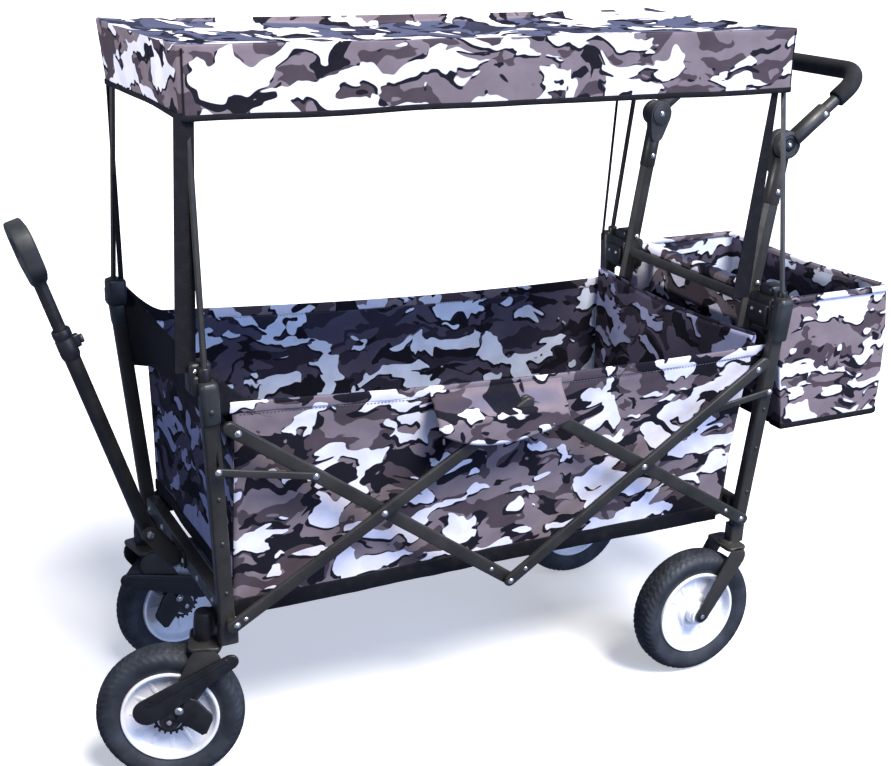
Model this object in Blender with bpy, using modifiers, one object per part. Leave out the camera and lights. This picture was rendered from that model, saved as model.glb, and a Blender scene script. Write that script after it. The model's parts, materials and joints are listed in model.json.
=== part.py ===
"""Folding wagon with a canopy, a pull handle at its front and a push handle and a basket at its rear.

Metres, +Z up. +X is the rear, -Y the left side, and z = 0 the ground. The origin is under the middle
of the wagon's overall length. Both sides lean outward, so each side has its own plane: a place in it is
given by x, by its way up the plane and by its way out of it.
"""

import math

import bmesh
import bpy
from mathutils import Matrix, Vector

# --- driving dimensions ---------------------------------------------------------------------------
MIDDLE_X = 0.02135                # middle of the overall length, from the middle of the side linkage
GAP = 0.0003                      # between neighbours that touch

SIDE_LEAN = math.radians(6.56)    # each side leans outward by this
FOOT_Z = 0.220                    # level that the side planes are measured up from
FOOT_Y = 0.190                    # half the distance between the side planes at that level

POST_FOOT_X = 0.409
POST_TOP_X = {"front": -0.436, "rear": 0.420}
POST_LOW = {"front": -0.004, "rear": -0.012}
POST_HIGH = 0.330
POST_FULL = 0.3675                # way up the plane at which POST_TOP_X is reached
POST_WIDTH, POST_DEPTH = 0.021, 0.016

PIVOT_X, PIVOT_UP = 0.408, 0.030  # lower pivots of the linkage, on the posts
CROSS_X, CROSS_UP = 0.203, 0.1615  # where two bars cross
LOW_MIDDLE_UP = 0.013             # pivot at the bottom middle
FRONT_RISE_END_X = 0.412          # free upper ends of the bars next to the posts
REAR_RISE_END_X = 0.390
BAR_WIDTH, BAR_THICK = 0.018, 0.007
INNER_LAYER, OUTER_LAYER = 0.0121, 0.0197
STAY_WIDTH, STAY_THICK = 0.010, 0.004
FRONT_STAY = (0.2600, 0.3002, 0.0184)   # way up the post, x of its end on the bar, layer
REAR_STAY = (0.2457, 0.2893, 0.0112)

TUBE_LOW, TUBE_HIGH = 0.250, 0.276               # cross tubes at the front and the rear
TUBE_THICK, TUBE_HALF = 0.020, 0.1805
FLOOR_LOW, FLOOR_THICK = 0.284, 0.004
TUB_FOOT_X = {"front": -0.3965, "rear": 0.3725}  # end panels at the floor and at the rim
TUB_RIM_X = {"front": -0.3965, "rear": 0.3880}
FABRIC = 0.0025
RIM_Z = 0.545
PANEL_OUT = -0.011

CANOPY_X = (-0.442, 0.437)
CANOPY_Y = 0.192
CANOPY_Z = (0.895, 0.985)
HOOP_RADIUS = 0.004

WHEEL_R, TYRE_HALF, RIM_R, HUB_R, AXLE_R = 0.100, 0.0225, 0.066, 0.015, 0.004
CASTER = (-0.430, 0.158)          # swivel axes of the front wheels, x and y
TRAIL = 0.050
HEADING = {"left": math.radians(160.0), "right": math.radians(12.0)}
REAR_WHEEL = (0.340, 0.186)
REAR_CROWN_X = 0.398
CROWN_LENGTH = {"front": 0.044, "rear": 0.034}
STEM_TOP = 0.236
FORK_ARM_Y, FORK_ARM_THICK = 0.029, 0.003
LEVER_GAP, LEVER_THICK = 0.0010, 0.004
LEVER_TURN = {"left": 0.0, "right": math.radians(-12.0)}
WHEEL_STEPS = 28
CROWN_Z = {"front": 0.206, "rear": 0.2035}

PULL_PIVOT = Vector((-0.463, 0.0, 0.305))
PULL_LEAN = math.radians(18.05)
YOKE_Z = 0.263
PULL_TUBE, PULL_COLLAR, PULL_GRIP, PULL_INNER_LOW = 0.318, 0.040, 0.388, 0.064
KNUCKLE = Vector((0.4545, 0.162, 0.8168))
HANDLE_FOOT, HANDLE_BEND = (0.3850, 0.246), (0.4035, 0.490)   # of the push handle's lower tubes
HANDLE_BEND_R = 0.600
HANDLE_TUBE_R, LOOP_TUBE_R, FOAM_BORE, FOAM_THICK = 0.0115, 0.0088, 0.0094, 0.0040
KNUCKLE_R, KNUCKLE_HALF, KNUCKLE_SHIFT, NECK = 0.0200, 0.0140, 0.0010, 0.0260
LOOP_END = Vector((0.584, 0.1703, 0.9145))
BASKET_X, BASKET_Y, BASKET_Z = (0.470, 0.660), 0.200, (0.375, 0.590)

SIDES = {"left": -1.0, "right": 1.0}
BLACK = (0.020, 0.020, 0.022)
STEEL_GREY = (0.045, 0.042, 0.040)

# --- scene ----------------------------------------------------------------------------------------
for old in list(bpy.data.objects):
    bpy.data.objects.remove(old, do_unlink=True)
parts = bpy.data.collections.new("wagon_with_pull_handle")
cutters = bpy.data.collections.new("cutters")
bpy.context.scene.collection.children.link(parts)
bpy.context.scene.collection.children.link(cutters)


def material(name, colour, roughness, metallic):
    found = bpy.data.materials.get(name)
    if found:
        return found
    made = bpy.data.materials.new(name)
    made.use_nodes = True
    shader = made.node_tree.nodes["Principled BSDF"]
    shader.inputs["Base Color"].default_value = (*colour, 1.0)
    shader.inputs["Roughness"].default_value = roughness
    shader.inputs["Metallic"].default_value = metallic
    return made


def powder_coat():
    return material("powder coated steel", STEEL_GREY, 0.45, 0.6)


def black_plastic():
    return material("black plastic", BLACK, 0.5, 0.0)


def cloth():
    return material("printed cloth", (0.35, 0.33, 0.37), 0.9, 0.0)


# --- placing --------------------------------------------------------------------------------------
def at(point):
    """A matrix that puts a local origin at a point measured from the middle of the linkage."""
    x, y, z = point
    return Matrix.Translation((x - MIDDLE_X, y, z))


def basis(x_axis, y_axis, z_axis):
    return Matrix((x_axis, y_axis, z_axis)).transposed().to_4x4()


def along(start, end, sideways=(0.0, 1.0, 0.0)):
    """Local Z runs from start to end, local X lies across it and across the sideways direction."""
    z_axis = (Vector(end) - Vector(start)).normalized()
    x_axis = Vector(sideways).cross(z_axis).normalized()
    return at(start) @ basis(x_axis, z_axis.cross(x_axis), z_axis)


def side_axes(side):
    """The side plane's own directions: up the plane and outward."""
    sign = SIDES[side]
    up = Vector((0.0, sign * math.sin(SIDE_LEAN), math.cos(SIDE_LEAN)))
    out = Vector((0.0, sign * math.cos(SIDE_LEAN), -math.sin(SIDE_LEAN)))
    return up, out


def side_point(side, x, up_way, out_way=0.0):
    up, out = side_axes(side)
    foot = Vector((x, SIDES[side] * FOOT_Y, FOOT_Z))
    return foot + up * up_way + out * out_way


def side_frame(side, x, up_way, out_way):
    """Local X is the wagon's X, local Y runs up the side plane."""
    up, _ = side_axes(side)
    x_axis = Vector((1.0, 0.0, 0.0))
    return at(side_point(side, x, up_way, out_way)) @ basis(x_axis, up, x_axis.cross(up))


# --- shapes ---------------------------------------------------------------------------------------
def add(name, data, matrix, look, collection=parts):
    made = bpy.data.objects.new(name, data)
    collection.objects.link(made)
    made.matrix_world = matrix
    if look:
        data.materials.append(look)
    return made


def box(name, size, matrix, look, centre=(0.0, 0.0, 0.0), bevel=0.0):
    shape = bmesh.new()
    bmesh.ops.create_cube(shape, size=1.0)
    bmesh.ops.scale(shape, vec=size, verts=shape.verts)
    bmesh.ops.translate(shape, vec=centre, verts=shape.verts)
    data = bpy.data.meshes.new(name)
    shape.to_mesh(data)
    shape.free()
    made = add(name, data, matrix, look)
    if bevel:
        rounding = made.modifiers.new("rounded edges", "BEVEL")
        rounding.width = bevel
        rounding.segments = 1
    return made


def cylinder(name, radius, length, matrix, look, start=0.0, steps=16):
    """Along local Z, from start."""
    shape = bmesh.new()
    bmesh.ops.create_cone(
        shape, cap_ends=True, segments=steps, radius1=radius, radius2=radius, depth=length
    )
    bmesh.ops.translate(shape, vec=(0.0, 0.0, start + length / 2), verts=shape.verts)
    data = bpy.data.meshes.new(name)
    shape.to_mesh(data)
    shape.free()
    data.shade_smooth()
    return add(name, data, matrix, look)


def turned(name, profile, matrix, look, steps=24):
    """A closed profile of (radius, height) points, turned about local Z."""
    data = bpy.data.meshes.new(name)
    shape = bmesh.new()
    corners = [shape.verts.new((radius, 0.0, height)) for radius, height in profile]
    for first, second in zip(corners, corners[1:] + corners[:1]):
        shape.edges.new((first, second))
    shape.to_mesh(data)
    shape.free()
    made = add(name, data, matrix, look)
    screw = made.modifiers.new("turned", "SCREW")
    screw.angle = math.tau
    screw.steps = steps
    screw.render_steps = steps
    screw.use_merge_vertices = True
    screw.merge_threshold = 0.00005
    screw.use_smooth_shade = True
    return made


def as_mesh(curve_object):
    """The curve object's shape as a mesh object of the same name, with its caps welded on."""
    bpy.context.view_layer.update()
    graph = bpy.context.evaluated_depsgraph_get()
    data = bpy.data.meshes.new_from_object(curve_object.evaluated_get(graph))
    shape = bmesh.new()
    shape.from_mesh(data)
    bmesh.ops.remove_doubles(shape, verts=shape.verts, dist=0.00002)
    shape.to_mesh(data)
    shape.free()
    name, matrix = curve_object.name, curve_object.matrix_world.copy()
    bpy.data.objects.remove(curve_object, do_unlink=True)
    return add(name, data, matrix, None)


def plate(name, outlines, thickness, matrix, look):
    """Flat outlines in local X and Y, the first one outside and any others holes, thick along Z."""
    data = bpy.data.curves.new(name, "CURVE")
    data.dimensions = "2D"
    data.fill_mode = "BOTH"
    data.extrude = thickness / 2
    for outline in outlines:
        spline = data.splines.new("POLY")
        spline.points.add(len(outline) - 1)
        for point, (x, y) in zip(spline.points, outline):
            point.co = (x, y, 0.0, 1.0)
        spline.use_cyclic_u = True
    return as_mesh(add(name, data, matrix, look))


def tube(name, points, radius, matrix, look, bevel_resolution=2, caps=True):
    data = bpy.data.curves.new(name, "CURVE")
    data.dimensions = "3D"
    data.bevel_depth = radius
    data.bevel_resolution = bevel_resolution
    data.use_fill_caps = caps
    spline = data.splines.new("POLY")
    spline.points.add(len(points) - 1)
    for point, place in zip(spline.points, points):
        point.co = (*place, 1.0)
    made = as_mesh(add(name, data, matrix, look))
    made.data.shade_smooth()
    return made


def joined(body, *others):
    """Others become one closed body with the first."""
    for other in others:
        union = body.modifiers.new("joined " + other.name, "BOOLEAN")
        union.operation = "UNION"
        union.object = other
        put_away(other)
    return body


def cut(body, *others):
    for other in others:
        bore = body.modifiers.new("cut " + other.name, "BOOLEAN")
        bore.operation = "DIFFERENCE"
        bore.object = other
        put_away(other)
    return body


def put_away(helper):
    parts.objects.unlink(helper)
    cutters.objects.link(helper)
    helper.hide_render = True
    helper.display_type = "WIRE"


# --- outlines -------------------------------------------------------------------------------------
def arc(centre, radius, start, end, steps=6):
    angles = [start + (end - start) * step / steps for step in range(steps + 1)]
    return [(centre[0] + radius * math.cos(a), centre[1] + radius * math.sin(a)) for a in angles]


def tapered(start, start_radius, end, end_radius):
    """A bar with round ends of two radii."""
    run = Vector(end) - Vector(start)
    heading = math.atan2(run.y, run.x)
    open_angle = math.acos((start_radius - end_radius) / run.length)
    far = arc(end, end_radius, heading - open_angle, heading + open_angle)
    near = arc(start, start_radius, heading + open_angle, heading + math.tau - open_angle)
    return far + near


def rounded_box(width, height, radius, centre=(0.0, 0.0)):
    points = []
    for quarter, (sx, sy) in enumerate(((1, 1), (-1, 1), (-1, -1), (1, -1))):
        corner = (
            centre[0] + sx * (width / 2 - radius),
            centre[1] + sy * (height / 2 - radius),
        )
        points += arc(corner, radius, quarter * math.pi / 2, (quarter + 1) * math.pi / 2, 4)
    return points


def bent_path(corners, radius, steps=5):
    """The corners joined by straight lines, each inner corner rounded to the radius."""
    path = [Vector(corners[0])]
    for before, corner, after in zip(corners, corners[1:], corners[2:]):
        back = (Vector(before) - Vector(corner)).normalized()
        ahead = (Vector(after) - Vector(corner)).normalized()
        half = back.angle(ahead) / 2
        centre = Vector(corner) + (back + ahead).normalized() * radius / math.sin(half)
        first = Vector(corner) + back * radius / math.tan(half) - centre
        last = Vector(corner) + ahead * radius / math.tan(half) - centre
        path += [centre + first.slerp(last, step / steps).normalized() * radius
                 for step in range(steps + 1)]
    path.append(Vector(corners[-1]))
    return path


# --- frames at the front and the rear -------------------------------------------------------------
def post_x(end, up_way):
    sign = -1.0 if end == "front" else 1.0
    foot = sign * POST_FOOT_X
    return foot + (POST_TOP_X[end] - foot) * up_way / POST_FULL


def post(end, side):
    low = POST_LOW[end]
    start = side_point(side, post_x(end, low), low)
    finish = side_point(side, post_x(end, POST_HIGH), POST_HIGH)
    length = (finish - start).length
    _, out = side_axes(side)
    size = (POST_WIDTH, POST_DEPTH, length)
    return box(f"{end}_post_{side}", size, along(start, finish, out), powder_coat(),
               centre=(0.0, 0.0, length / 2), bevel=0.0025)


def front_corner(side):
    """Plastic cap on a front post, which holds the foot of the canopy hoop."""
    low, high = POST_HIGH + 0.0018, POST_HIGH + 0.050
    middle = (low + high) / 2
    size = (0.036, high - low, 0.034)
    return box(f"front_corner_{side}", size, side_frame(side, -0.440, middle, -0.005),
               black_plastic(), bevel=0.004)


def rear_corner(side):
    """Plastic block that ties a rear post to the push handle's tube."""
    sign = SIDES[side]
    inner, outer = KNUCKLE.y + HANDLE_TUBE_R + 0.001, 0.240
    low, high = 0.5505, 0.605
    size = (0.044, outer - inner, high - low)
    centre = (0.430, sign * (inner + outer) / 2, (low + high) / 2)
    return box(f"rear_corner_{side}", size, at(centre), black_plastic(), bevel=0.004)


def cross_tube(end):
    sign = -1.0 if end == "front" else 1.0
    size = (TUBE_THICK, 2 * TUBE_HALF, TUBE_HIGH - TUBE_LOW)
    centre = (sign * POST_FOOT_X, 0.0, (TUBE_LOW + TUBE_HIGH) / 2)
    return box(f"{end}_cross_tube", size, at(centre), powder_coat(), bevel=0.003)


def canopy_hoop(end):
    """Thin rod that rises from both corners and crosses under the canopy."""
    foot_x = -0.438 if end == "front" else 0.424
    top_x = -0.4335 if end == "front" else 0.4285
    foot_z = 0.6015 if end == "front" else 0.6065
    corners = [
        (foot_x, -0.2295, foot_z),
        (top_x, -0.1835, 0.893),
        (top_x, -0.1825, 0.970),
        (top_x, 0.1825, 0.970),
        (top_x, 0.1835, 0.893),
        (foot_x, 0.2295, foot_z),
    ]
    path = bent_path(corners, 0.020, 3)
    return tube(f"canopy_hoop_{end}", path, HOOP_RADIUS, at((0.0, 0.0, 0.0)), powder_coat(), 1)


def handle_tube(side):
    """Push handle's lower tube with the fixed half of its knuckle."""
    sign = SIDES[side]
    y = sign * KNUCKLE.y
    bend = Vector((HANDLE_BEND[0], y, HANDLE_BEND[1]))
    knuckle = Vector((KNUCKLE.x, y, KNUCKLE.z))
    down = (bend - knuckle).normalized()
    corners = [(HANDLE_FOOT[0], y, HANDLE_FOOT[1]), bend, knuckle + down * NECK]
    body = tube(f"handle_tube_{side}", bent_path(corners, HANDLE_BEND_R, 4), HANDLE_TUBE_R,
                at((0.0, 0.0, 0.0)), powder_coat())
    outline = knuckle_outline(down, HANDLE_TUBE_R)
    upright = Matrix.Rotation(math.radians(90.0), 4, "X")
    middle = Vector((0.0, -sign * KNUCKLE_HALF / 2 + sign * KNUCKLE_SHIFT, 0.0))
    disc = plate(f"knuckle_base_{side}", [outline], KNUCKLE_HALF,
                 at(knuckle + middle) @ upright, None)
    return joined(body, disc)


def knuckle_outline(way, neck_radius):
    """A knuckle's disc with a neck that reaches over the end of its tube."""
    reach = NECK + 0.008
    return tapered((way.x * reach, way.z * reach), neck_radius, (0.0, 0.0), KNUCKLE_R)


def basket_bar():
    """Bar between the push handle's tubes, which the basket hangs from."""
    half = KNUCKLE.y - HANDLE_TUBE_R - GAP
    turn = Matrix.Rotation(math.radians(90.0), 4, "X")
    return cylinder("basket_bar", 0.008, 2 * half, at((0.4185, 0.0, 0.5870)) @ turn,
                    powder_coat(), -half, 12)


# --- side linkage ---------------------------------------------------------------------------------
def cross(end):
    return (-CROSS_X if end == "front" else CROSS_X, CROSS_UP)


def rising_slope():
    """Slope of the bars between a lower pivot and the top middle."""
    return (CROSS_UP - PIVOT_UP) / (PIVOT_X - CROSS_X)


def falling_slope():
    """Slope of the bars between the bottom middle and a post's upper end."""
    return (CROSS_UP - LOW_MIDDLE_UP) / CROSS_X


def side_bar(name, side, start, end, pivot, layer, width, thick, look):
    """A flat bar with round ends, its origin on its pivot."""
    shift = Vector(pivot)
    outline = tapered(Vector(start) - shift, width / 2, Vector(end) - shift, width / 2 - 0.00001)
    return plate(f"{name}_{side}", [outline], thick, side_frame(side, *pivot, layer), look)


def linkage(side):
    """Four bars and two stays, with every pivot's place worked out from the linkage's dimensions."""
    top = (0.0, CROSS_UP + CROSS_X * rising_slope())
    low = (0.0, LOW_MIDDLE_UP)
    front_foot, rear_foot = (-PIVOT_X, PIVOT_UP), (PIVOT_X, PIVOT_UP)
    front_end = (-FRONT_RISE_END_X, LOW_MIDDLE_UP + FRONT_RISE_END_X * falling_slope())
    rear_end = (REAR_RISE_END_X, LOW_MIDDLE_UP + REAR_RISE_END_X * falling_slope())
    bars = (
        ("bar_front_foot", front_foot, top, front_foot, OUTER_LAYER),
        ("bar_front_high", low, front_end, cross("front"), INNER_LAYER),
        ("bar_rear_foot", rear_foot, top, top, INNER_LAYER),
        ("bar_rear_high", low, rear_end, cross("rear"), OUTER_LAYER),
    )
    made = {}
    for name, start, end, pivot, layer in bars:
        made[name] = side_bar(name, side, start, end, pivot, layer, BAR_WIDTH, BAR_THICK,
                              powder_coat())
    spacer_length = OUTER_LAYER - BAR_THICK / 2 - POST_DEPTH / 2 - GAP
    spacer = cylinder(f"spacer_{side}", 0.007, spacer_length + 0.002,
                      side_frame(side, *front_foot, 0.0), None, 0.0, 12)
    _, out = side_axes(side)
    base = side_point(side, *front_foot, POST_DEPTH / 2 + GAP)
    spacer.matrix_world = along(base, base + out, (1.0, 0.0, 0.0))
    joined(made["bar_front_foot"], spacer)
    for end, (post_way, bar_x, layer) in (("front", FRONT_STAY), ("rear", REAR_STAY)):
        sign = -1.0 if end == "front" else 1.0
        pivot = (post_x(end, post_way), post_way)
        bar_point = (sign * bar_x, LOW_MIDDLE_UP + bar_x * falling_slope())
        side_bar(f"stay_{end}", side, pivot, bar_point, pivot, layer, STAY_WIDTH, STAY_THICK,
                 powder_coat())


# --- tub, canopy and basket -----------------------------------------------------------------------
def inner_half_width(z):
    """Half the clear width between the side panels at a level."""
    up_way = (z - FOOT_Z) / math.cos(SIDE_LEAN)
    return side_point("right", 0.0, up_way, PANEL_OUT - FABRIC / 2).y - 0.0006


def side_panel(side):
    low, high = 0.030, (RIM_Z - FOOT_Z) / math.cos(SIDE_LEAN)
    reach = 0.002
    outline = [
        (TUB_FOOT_X["front"] - reach, low),
        (TUB_FOOT_X["rear"] + reach, low),
        (TUB_RIM_X["rear"] + reach, high),
        (TUB_RIM_X["front"] - reach, high),
    ]
    frame = side_frame(side, 0.0, 0.0, PANEL_OUT)
    return plate(f"tub_side_{side}", [outline], FABRIC, frame, cloth())


def end_panel(end):
    low = FLOOR_LOW
    start, finish = Vector((TUB_FOOT_X[end], 0.0, low)), Vector((TUB_RIM_X[end], 0.0, RIM_Z))
    length = (finish - start).length
    bottom, top = inner_half_width(low), inner_half_width(RIM_Z)
    outline = [(-bottom, 0.0), (bottom, 0.0), (top, length), (-top, length)]
    up = (finish - start).normalized()
    y_axis = Vector((0.0, 1.0, 0.0))
    frame = at(start) @ basis(y_axis, up, y_axis.cross(up))
    return plate(f"tub_{end}_panel", [outline], FABRIC, frame, cloth())


def tub_floor():
    half = inner_half_width(FLOOR_LOW)
    inset = FABRIC / 2 + 0.0005
    low_x, high_x = TUB_FOOT_X["front"] + inset, TUB_FOOT_X["rear"] - inset
    size = (high_x - low_x, 2 * half, FLOOR_THICK)
    centre = ((low_x + high_x) / 2, 0.0, FLOOR_LOW + FLOOR_THICK / 2)
    return box("tub_floor", size, at(centre), cloth())


def open_shell(name, size, matrix, thickness, look, open_side):
    """A box of cloth with one side left out, its outer faces on the given size."""
    made = box(name, size, matrix, look)
    shape = bmesh.new()
    shape.from_mesh(made.data)
    gone = [face for face in shape.faces if face.normal.z * open_side > 0.5]
    bmesh.ops.delete(shape, geom=gone, context="FACES")
    shape.to_mesh(made.data)
    shape.free()
    wall = made.modifiers.new("cloth thickness", "SOLIDIFY")
    wall.thickness = thickness
    wall.offset = -1.0
    wall.use_even_offset = True
    return made


def canopy_cover():
    low, high = CANOPY_Z
    size = (CANOPY_X[1] - CANOPY_X[0], 2 * CANOPY_Y, high - low)
    centre = ((CANOPY_X[0] + CANOPY_X[1]) / 2, 0.0, (low + high) / 2)
    return open_shell("canopy_cover", size, at(centre), FABRIC, cloth(), -1.0)


def rear_basket():
    low, high = BASKET_Z
    size = (BASKET_X[1] - BASKET_X[0], 2 * BASKET_Y, high - low)
    centre = ((BASKET_X[0] + BASKET_X[1]) / 2, 0.0, (low + high) / 2)
    return open_shell("rear_basket", size, at(centre), 0.003, cloth(), 1.0)


# --- wheels ---------------------------------------------------------------------------------------
def wheel_frame(centre, heading):
    """Local Z is the axle, pointing to the wagon's right, and local X the way the wheel faces."""
    rolling = Vector((math.cos(heading), math.sin(heading), 0.0))
    up = Vector((0.0, 0.0, 1.0))
    return at(centre) @ basis(rolling, up, rolling.cross(up))


def rim(name, frame):
    web, lip, hub = 0.004, 0.0165, FORK_ARM_Y - FORK_ARM_THICK / 2 - 0.001
    bore = AXLE_R + 0.0006
    profile = [
        (RIM_R, lip), (RIM_R, -lip), (RIM_R - 0.006, -lip), (RIM_R - 0.010, -web),
        (HUB_R, -web), (HUB_R - 0.002, -hub), (bore, -hub),
        (bore, hub), (HUB_R - 0.002, hub), (HUB_R, web),
        (RIM_R - 0.010, web), (RIM_R - 0.006, lip),
    ]
    return turned(name, profile, frame, material("white plastic", (0.85, 0.85, 0.87), 0.4, 0.0),
                  WHEEL_STEPS)


def tyre(name, frame):
    inner = RIM_R + GAP
    profile = [
        (inner, 0.0160), (inner + 0.010, 0.0205), (WHEEL_R - 0.012, TYRE_HALF),
        (WHEEL_R - 0.004, TYRE_HALF - 0.003), (WHEEL_R, TYRE_HALF - 0.010),
    ]
    ring = profile + [(radius, -height) for radius, height in reversed(profile)]
    return turned(name, ring, frame, material("black rubber", (0.025, 0.026, 0.030), 0.8, 0.0),
                  WHEEL_STEPS)


def fork(name, crown, axle, heading, crown_size, arm_radii, stem_top):
    """A crown, two arms and the axle, as one piece. The arms start under the crown."""
    frame = at(crown) @ Matrix.Rotation(heading, 4, "Z")
    run = Vector(axle) - Vector(crown)
    reach = Matrix.Rotation(-heading, 3, "Z") @ run
    thickness = 0.006
    size = (crown_size, 2 * FORK_ARM_Y + FORK_ARM_THICK, thickness)
    body = box(name, size, frame, powder_coat())
    upright = Matrix.Rotation(math.radians(90.0), 4, "X")
    for sign in (-1.0, 1.0):
        outline = tapered((reach.x, reach.z), arm_radii[0], (0.0, -arm_radii[1] + thickness / 2),
                          arm_radii[1])
        arm_frame = frame @ Matrix.Translation((0.0, sign * FORK_ARM_Y, 0.0)) @ upright
        joined(body, plate(f"{name}_arm_{sign:.0f}", [outline], FORK_ARM_THICK, arm_frame, None))
    axle_frame = frame @ Matrix.Translation(reach) @ upright
    half = FORK_ARM_Y + FORK_ARM_THICK / 2 + 0.0005
    joined(body, cylinder(f"{name}_axle", AXLE_R, 2 * half, axle_frame, None, -half, 12))
    if stem_top:
        length = stem_top - crown[2]
        joined(body, cylinder(f"{name}_stem", 0.007, length, frame, None, 0.0, 16))
    return body


def caster_housing(side):
    low, high = 0.2115, TUBE_LOW - GAP
    x, y = CASTER[0], SIDES[side] * CASTER[1]
    body = cylinder(f"caster_housing_{side}", 0.0155, high - low, at((x, y, low)), black_plastic(),
                    0.0, 24)
    lug_low, lug_end = 0.226, -POST_FOOT_X + TUBE_THICK / 2
    lug_size = (lug_end - x, 0.022, high - lug_low)
    lug_centre = ((lug_end + x) / 2, y, (high + lug_low) / 2)
    joined(body, box(f"lug_{side}", lug_size, at(lug_centre), None))
    bore = cylinder(f"stem_bore_{side}", 0.0078, 0.031, at((x, y, low)), None, -0.002, 16)
    return cut(body, bore)


def brake_lever(side, wheel, heading):
    """Lever beside a front fork's arm, on the wagon's left of the wheel: a long pedal and a pawl."""
    facing = Vector((math.cos(heading), math.sin(heading), 0.0))
    up = Vector((0.0, 0.0, 1.0))
    pivot = wheel - facing * 0.014 + up * 0.020
    leftward = facing.cross(up) * (-1.0 if facing.x < 0 else 1.0)
    layer = FORK_ARM_Y + FORK_ARM_THICK / 2 + LEVER_GAP + LEVER_THICK / 2
    frame = at(pivot + leftward * layer) @ basis(-facing, up, (-facing).cross(up))
    frame = frame @ Matrix.Rotation(LEVER_TURN[side], 4, "Z")
    pedal = tapered((-0.045, -0.004), 0.0150, (0.069, 0.070), 0.0110)
    pawl = tapered((0.004, 0.008), 0.0160, (0.043, -0.036), 0.0070)
    body = plate(f"brake_lever_{side}", [pedal], LEVER_THICK, frame, black_plastic())
    return joined(body, plate(f"pawl_{side}", [pawl], LEVER_THICK, frame, None))


def front_wheel(side):
    heading = HEADING[side]
    x, y = CASTER[0], SIDES[side] * CASTER[1]
    forward = Vector((math.cos(heading), math.sin(heading), 0.0))
    wheel = Vector((x, y, WHEEL_R)) + forward * TRAIL
    frame = wheel_frame(wheel, heading)
    fork(f"caster_fork_{side}", (x, y, CROWN_Z["front"]), wheel, heading, CROWN_LENGTH["front"],
         (0.013, 0.022), STEM_TOP)
    rim(f"front_rim_{side}", frame)
    tyre(f"front_tyre_{side}", frame)
    caster_housing(side)
    brake_lever(side, wheel, heading)


def rear_wheel(side):
    wheel = Vector((REAR_WHEEL[0], SIDES[side] * REAR_WHEEL[1], WHEEL_R))
    crown = (REAR_CROWN_X, wheel.y, CROWN_Z["rear"])
    fork(f"rear_fork_{side}", crown, wheel, 0.0, CROWN_LENGTH["rear"], (0.0105, 0.0150), None)
    frame = wheel_frame(wheel, 0.0)
    rim(f"rear_rim_{side}", frame)
    tyre(f"rear_tyre_{side}", frame)


# --- pull handle ----------------------------------------------------------------------------------
def pull_frame():
    """Local Z runs up the handle from its pivot, local Y is the wagon's Y."""
    return at(PULL_PIVOT) @ Matrix.Rotation(-PULL_LEAN, 4, "Y")


def pull_yoke():
    front_face = -POST_FOOT_X - TUBE_THICK / 2 - GAP
    back = box("pull_yoke", (0.004, 0.046, 0.026), at((front_face - 0.002, 0.0, YOKE_Z)),
               powder_coat())
    upright = Matrix.Rotation(math.radians(90.0), 4, "X")
    low = (front_face - 0.012 - PULL_PIVOT.x, YOKE_Z - PULL_PIVOT.z)
    for sign in (-1.0, 1.0):
        frame = at(PULL_PIVOT) @ Matrix.Translation((0.0, sign * 0.0165, 0.0)) @ upright
        cheek = plate(f"cheek_{sign:.0f}", [tapered(low, 0.0120, (0.0, 0.0), 0.0110)], 0.003,
                      frame, None)
        joined(back, cheek)
    return back


def pull_handle():
    bore, wall, collar = 0.0094, 0.0112, 0.0145
    high = PULL_TUBE
    low_collar = high - PULL_COLLAR
    profile = [
        (collar, high), (collar, low_collar), (wall, low_collar - 0.004), (wall, -0.011),
        (bore, -0.011), (bore, high),
    ]
    outer = turned("pull_outer_tube", profile, pull_frame(), powder_coat(), 20)
    pin_turn = Matrix.Rotation(math.radians(90.0), 4, "X")
    pin = cylinder("pull_pin", 0.0045, 0.0285, pull_frame() @ pin_turn, None, -0.01425, 12)
    joined(outer, pin)
    button_place = pull_frame() @ Matrix.Translation((0.0, 0.0, high - 0.022))
    button_turn = Matrix.Rotation(math.radians(90.0), 4, "Y")
    seat = cylinder("button_seat", 0.0062, 0.010, button_place @ button_turn, None, 0.0100, 16)
    cut(outer, seat)
    cylinder("pull_lock_button", 0.0056, 0.0060, button_place @ button_turn, black_plastic(),
             0.0132, 16)
    cylinder("pull_inner_tube", 0.0086, PULL_GRIP - PULL_INNER_LOW, pull_frame(), powder_coat(),
             PULL_INNER_LOW, 20)
    quarter = math.radians(90.0)
    grip_turn = Matrix.Rotation(quarter, 4, "Z") @ Matrix.Rotation(quarter, 4, "X")
    grip_place = pull_frame() @ Matrix.Translation((0.0, 0.0, PULL_GRIP + GAP)) @ grip_turn
    hole = rounded_box(0.058, 0.034, 0.012, (0.0, 0.047))
    outside = [(-0.014, 0.0), (0.014, 0.0), (0.043, 0.026)]
    outside += arc((0.025, 0.064), 0.018, 0.0, math.pi / 2, 4)
    outside += arc((-0.025, 0.064), 0.018, math.pi / 2, math.pi, 4)
    outside += [(-0.043, 0.026)]
    plate("pull_grip", [outside, hole], 0.018, grip_place, black_plastic())


# --- push handle ----------------------------------------------------------------------------------
def loop_corners():
    y = LOOP_END.y
    return [
        (KNUCKLE.x, -y, KNUCKLE.z), (LOOP_END.x, -y, LOOP_END.z),
        (LOOP_END.x, y, LOOP_END.z), (KNUCKLE.x, y, KNUCKLE.z),
    ]


def on_knuckle(points):
    """Points moved so that the knuckles' axis is the origin's height and x."""
    shift = Vector((KNUCKLE.x, 0.0, KNUCKLE.z))
    return [Vector(point) - shift for point in points]


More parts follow.
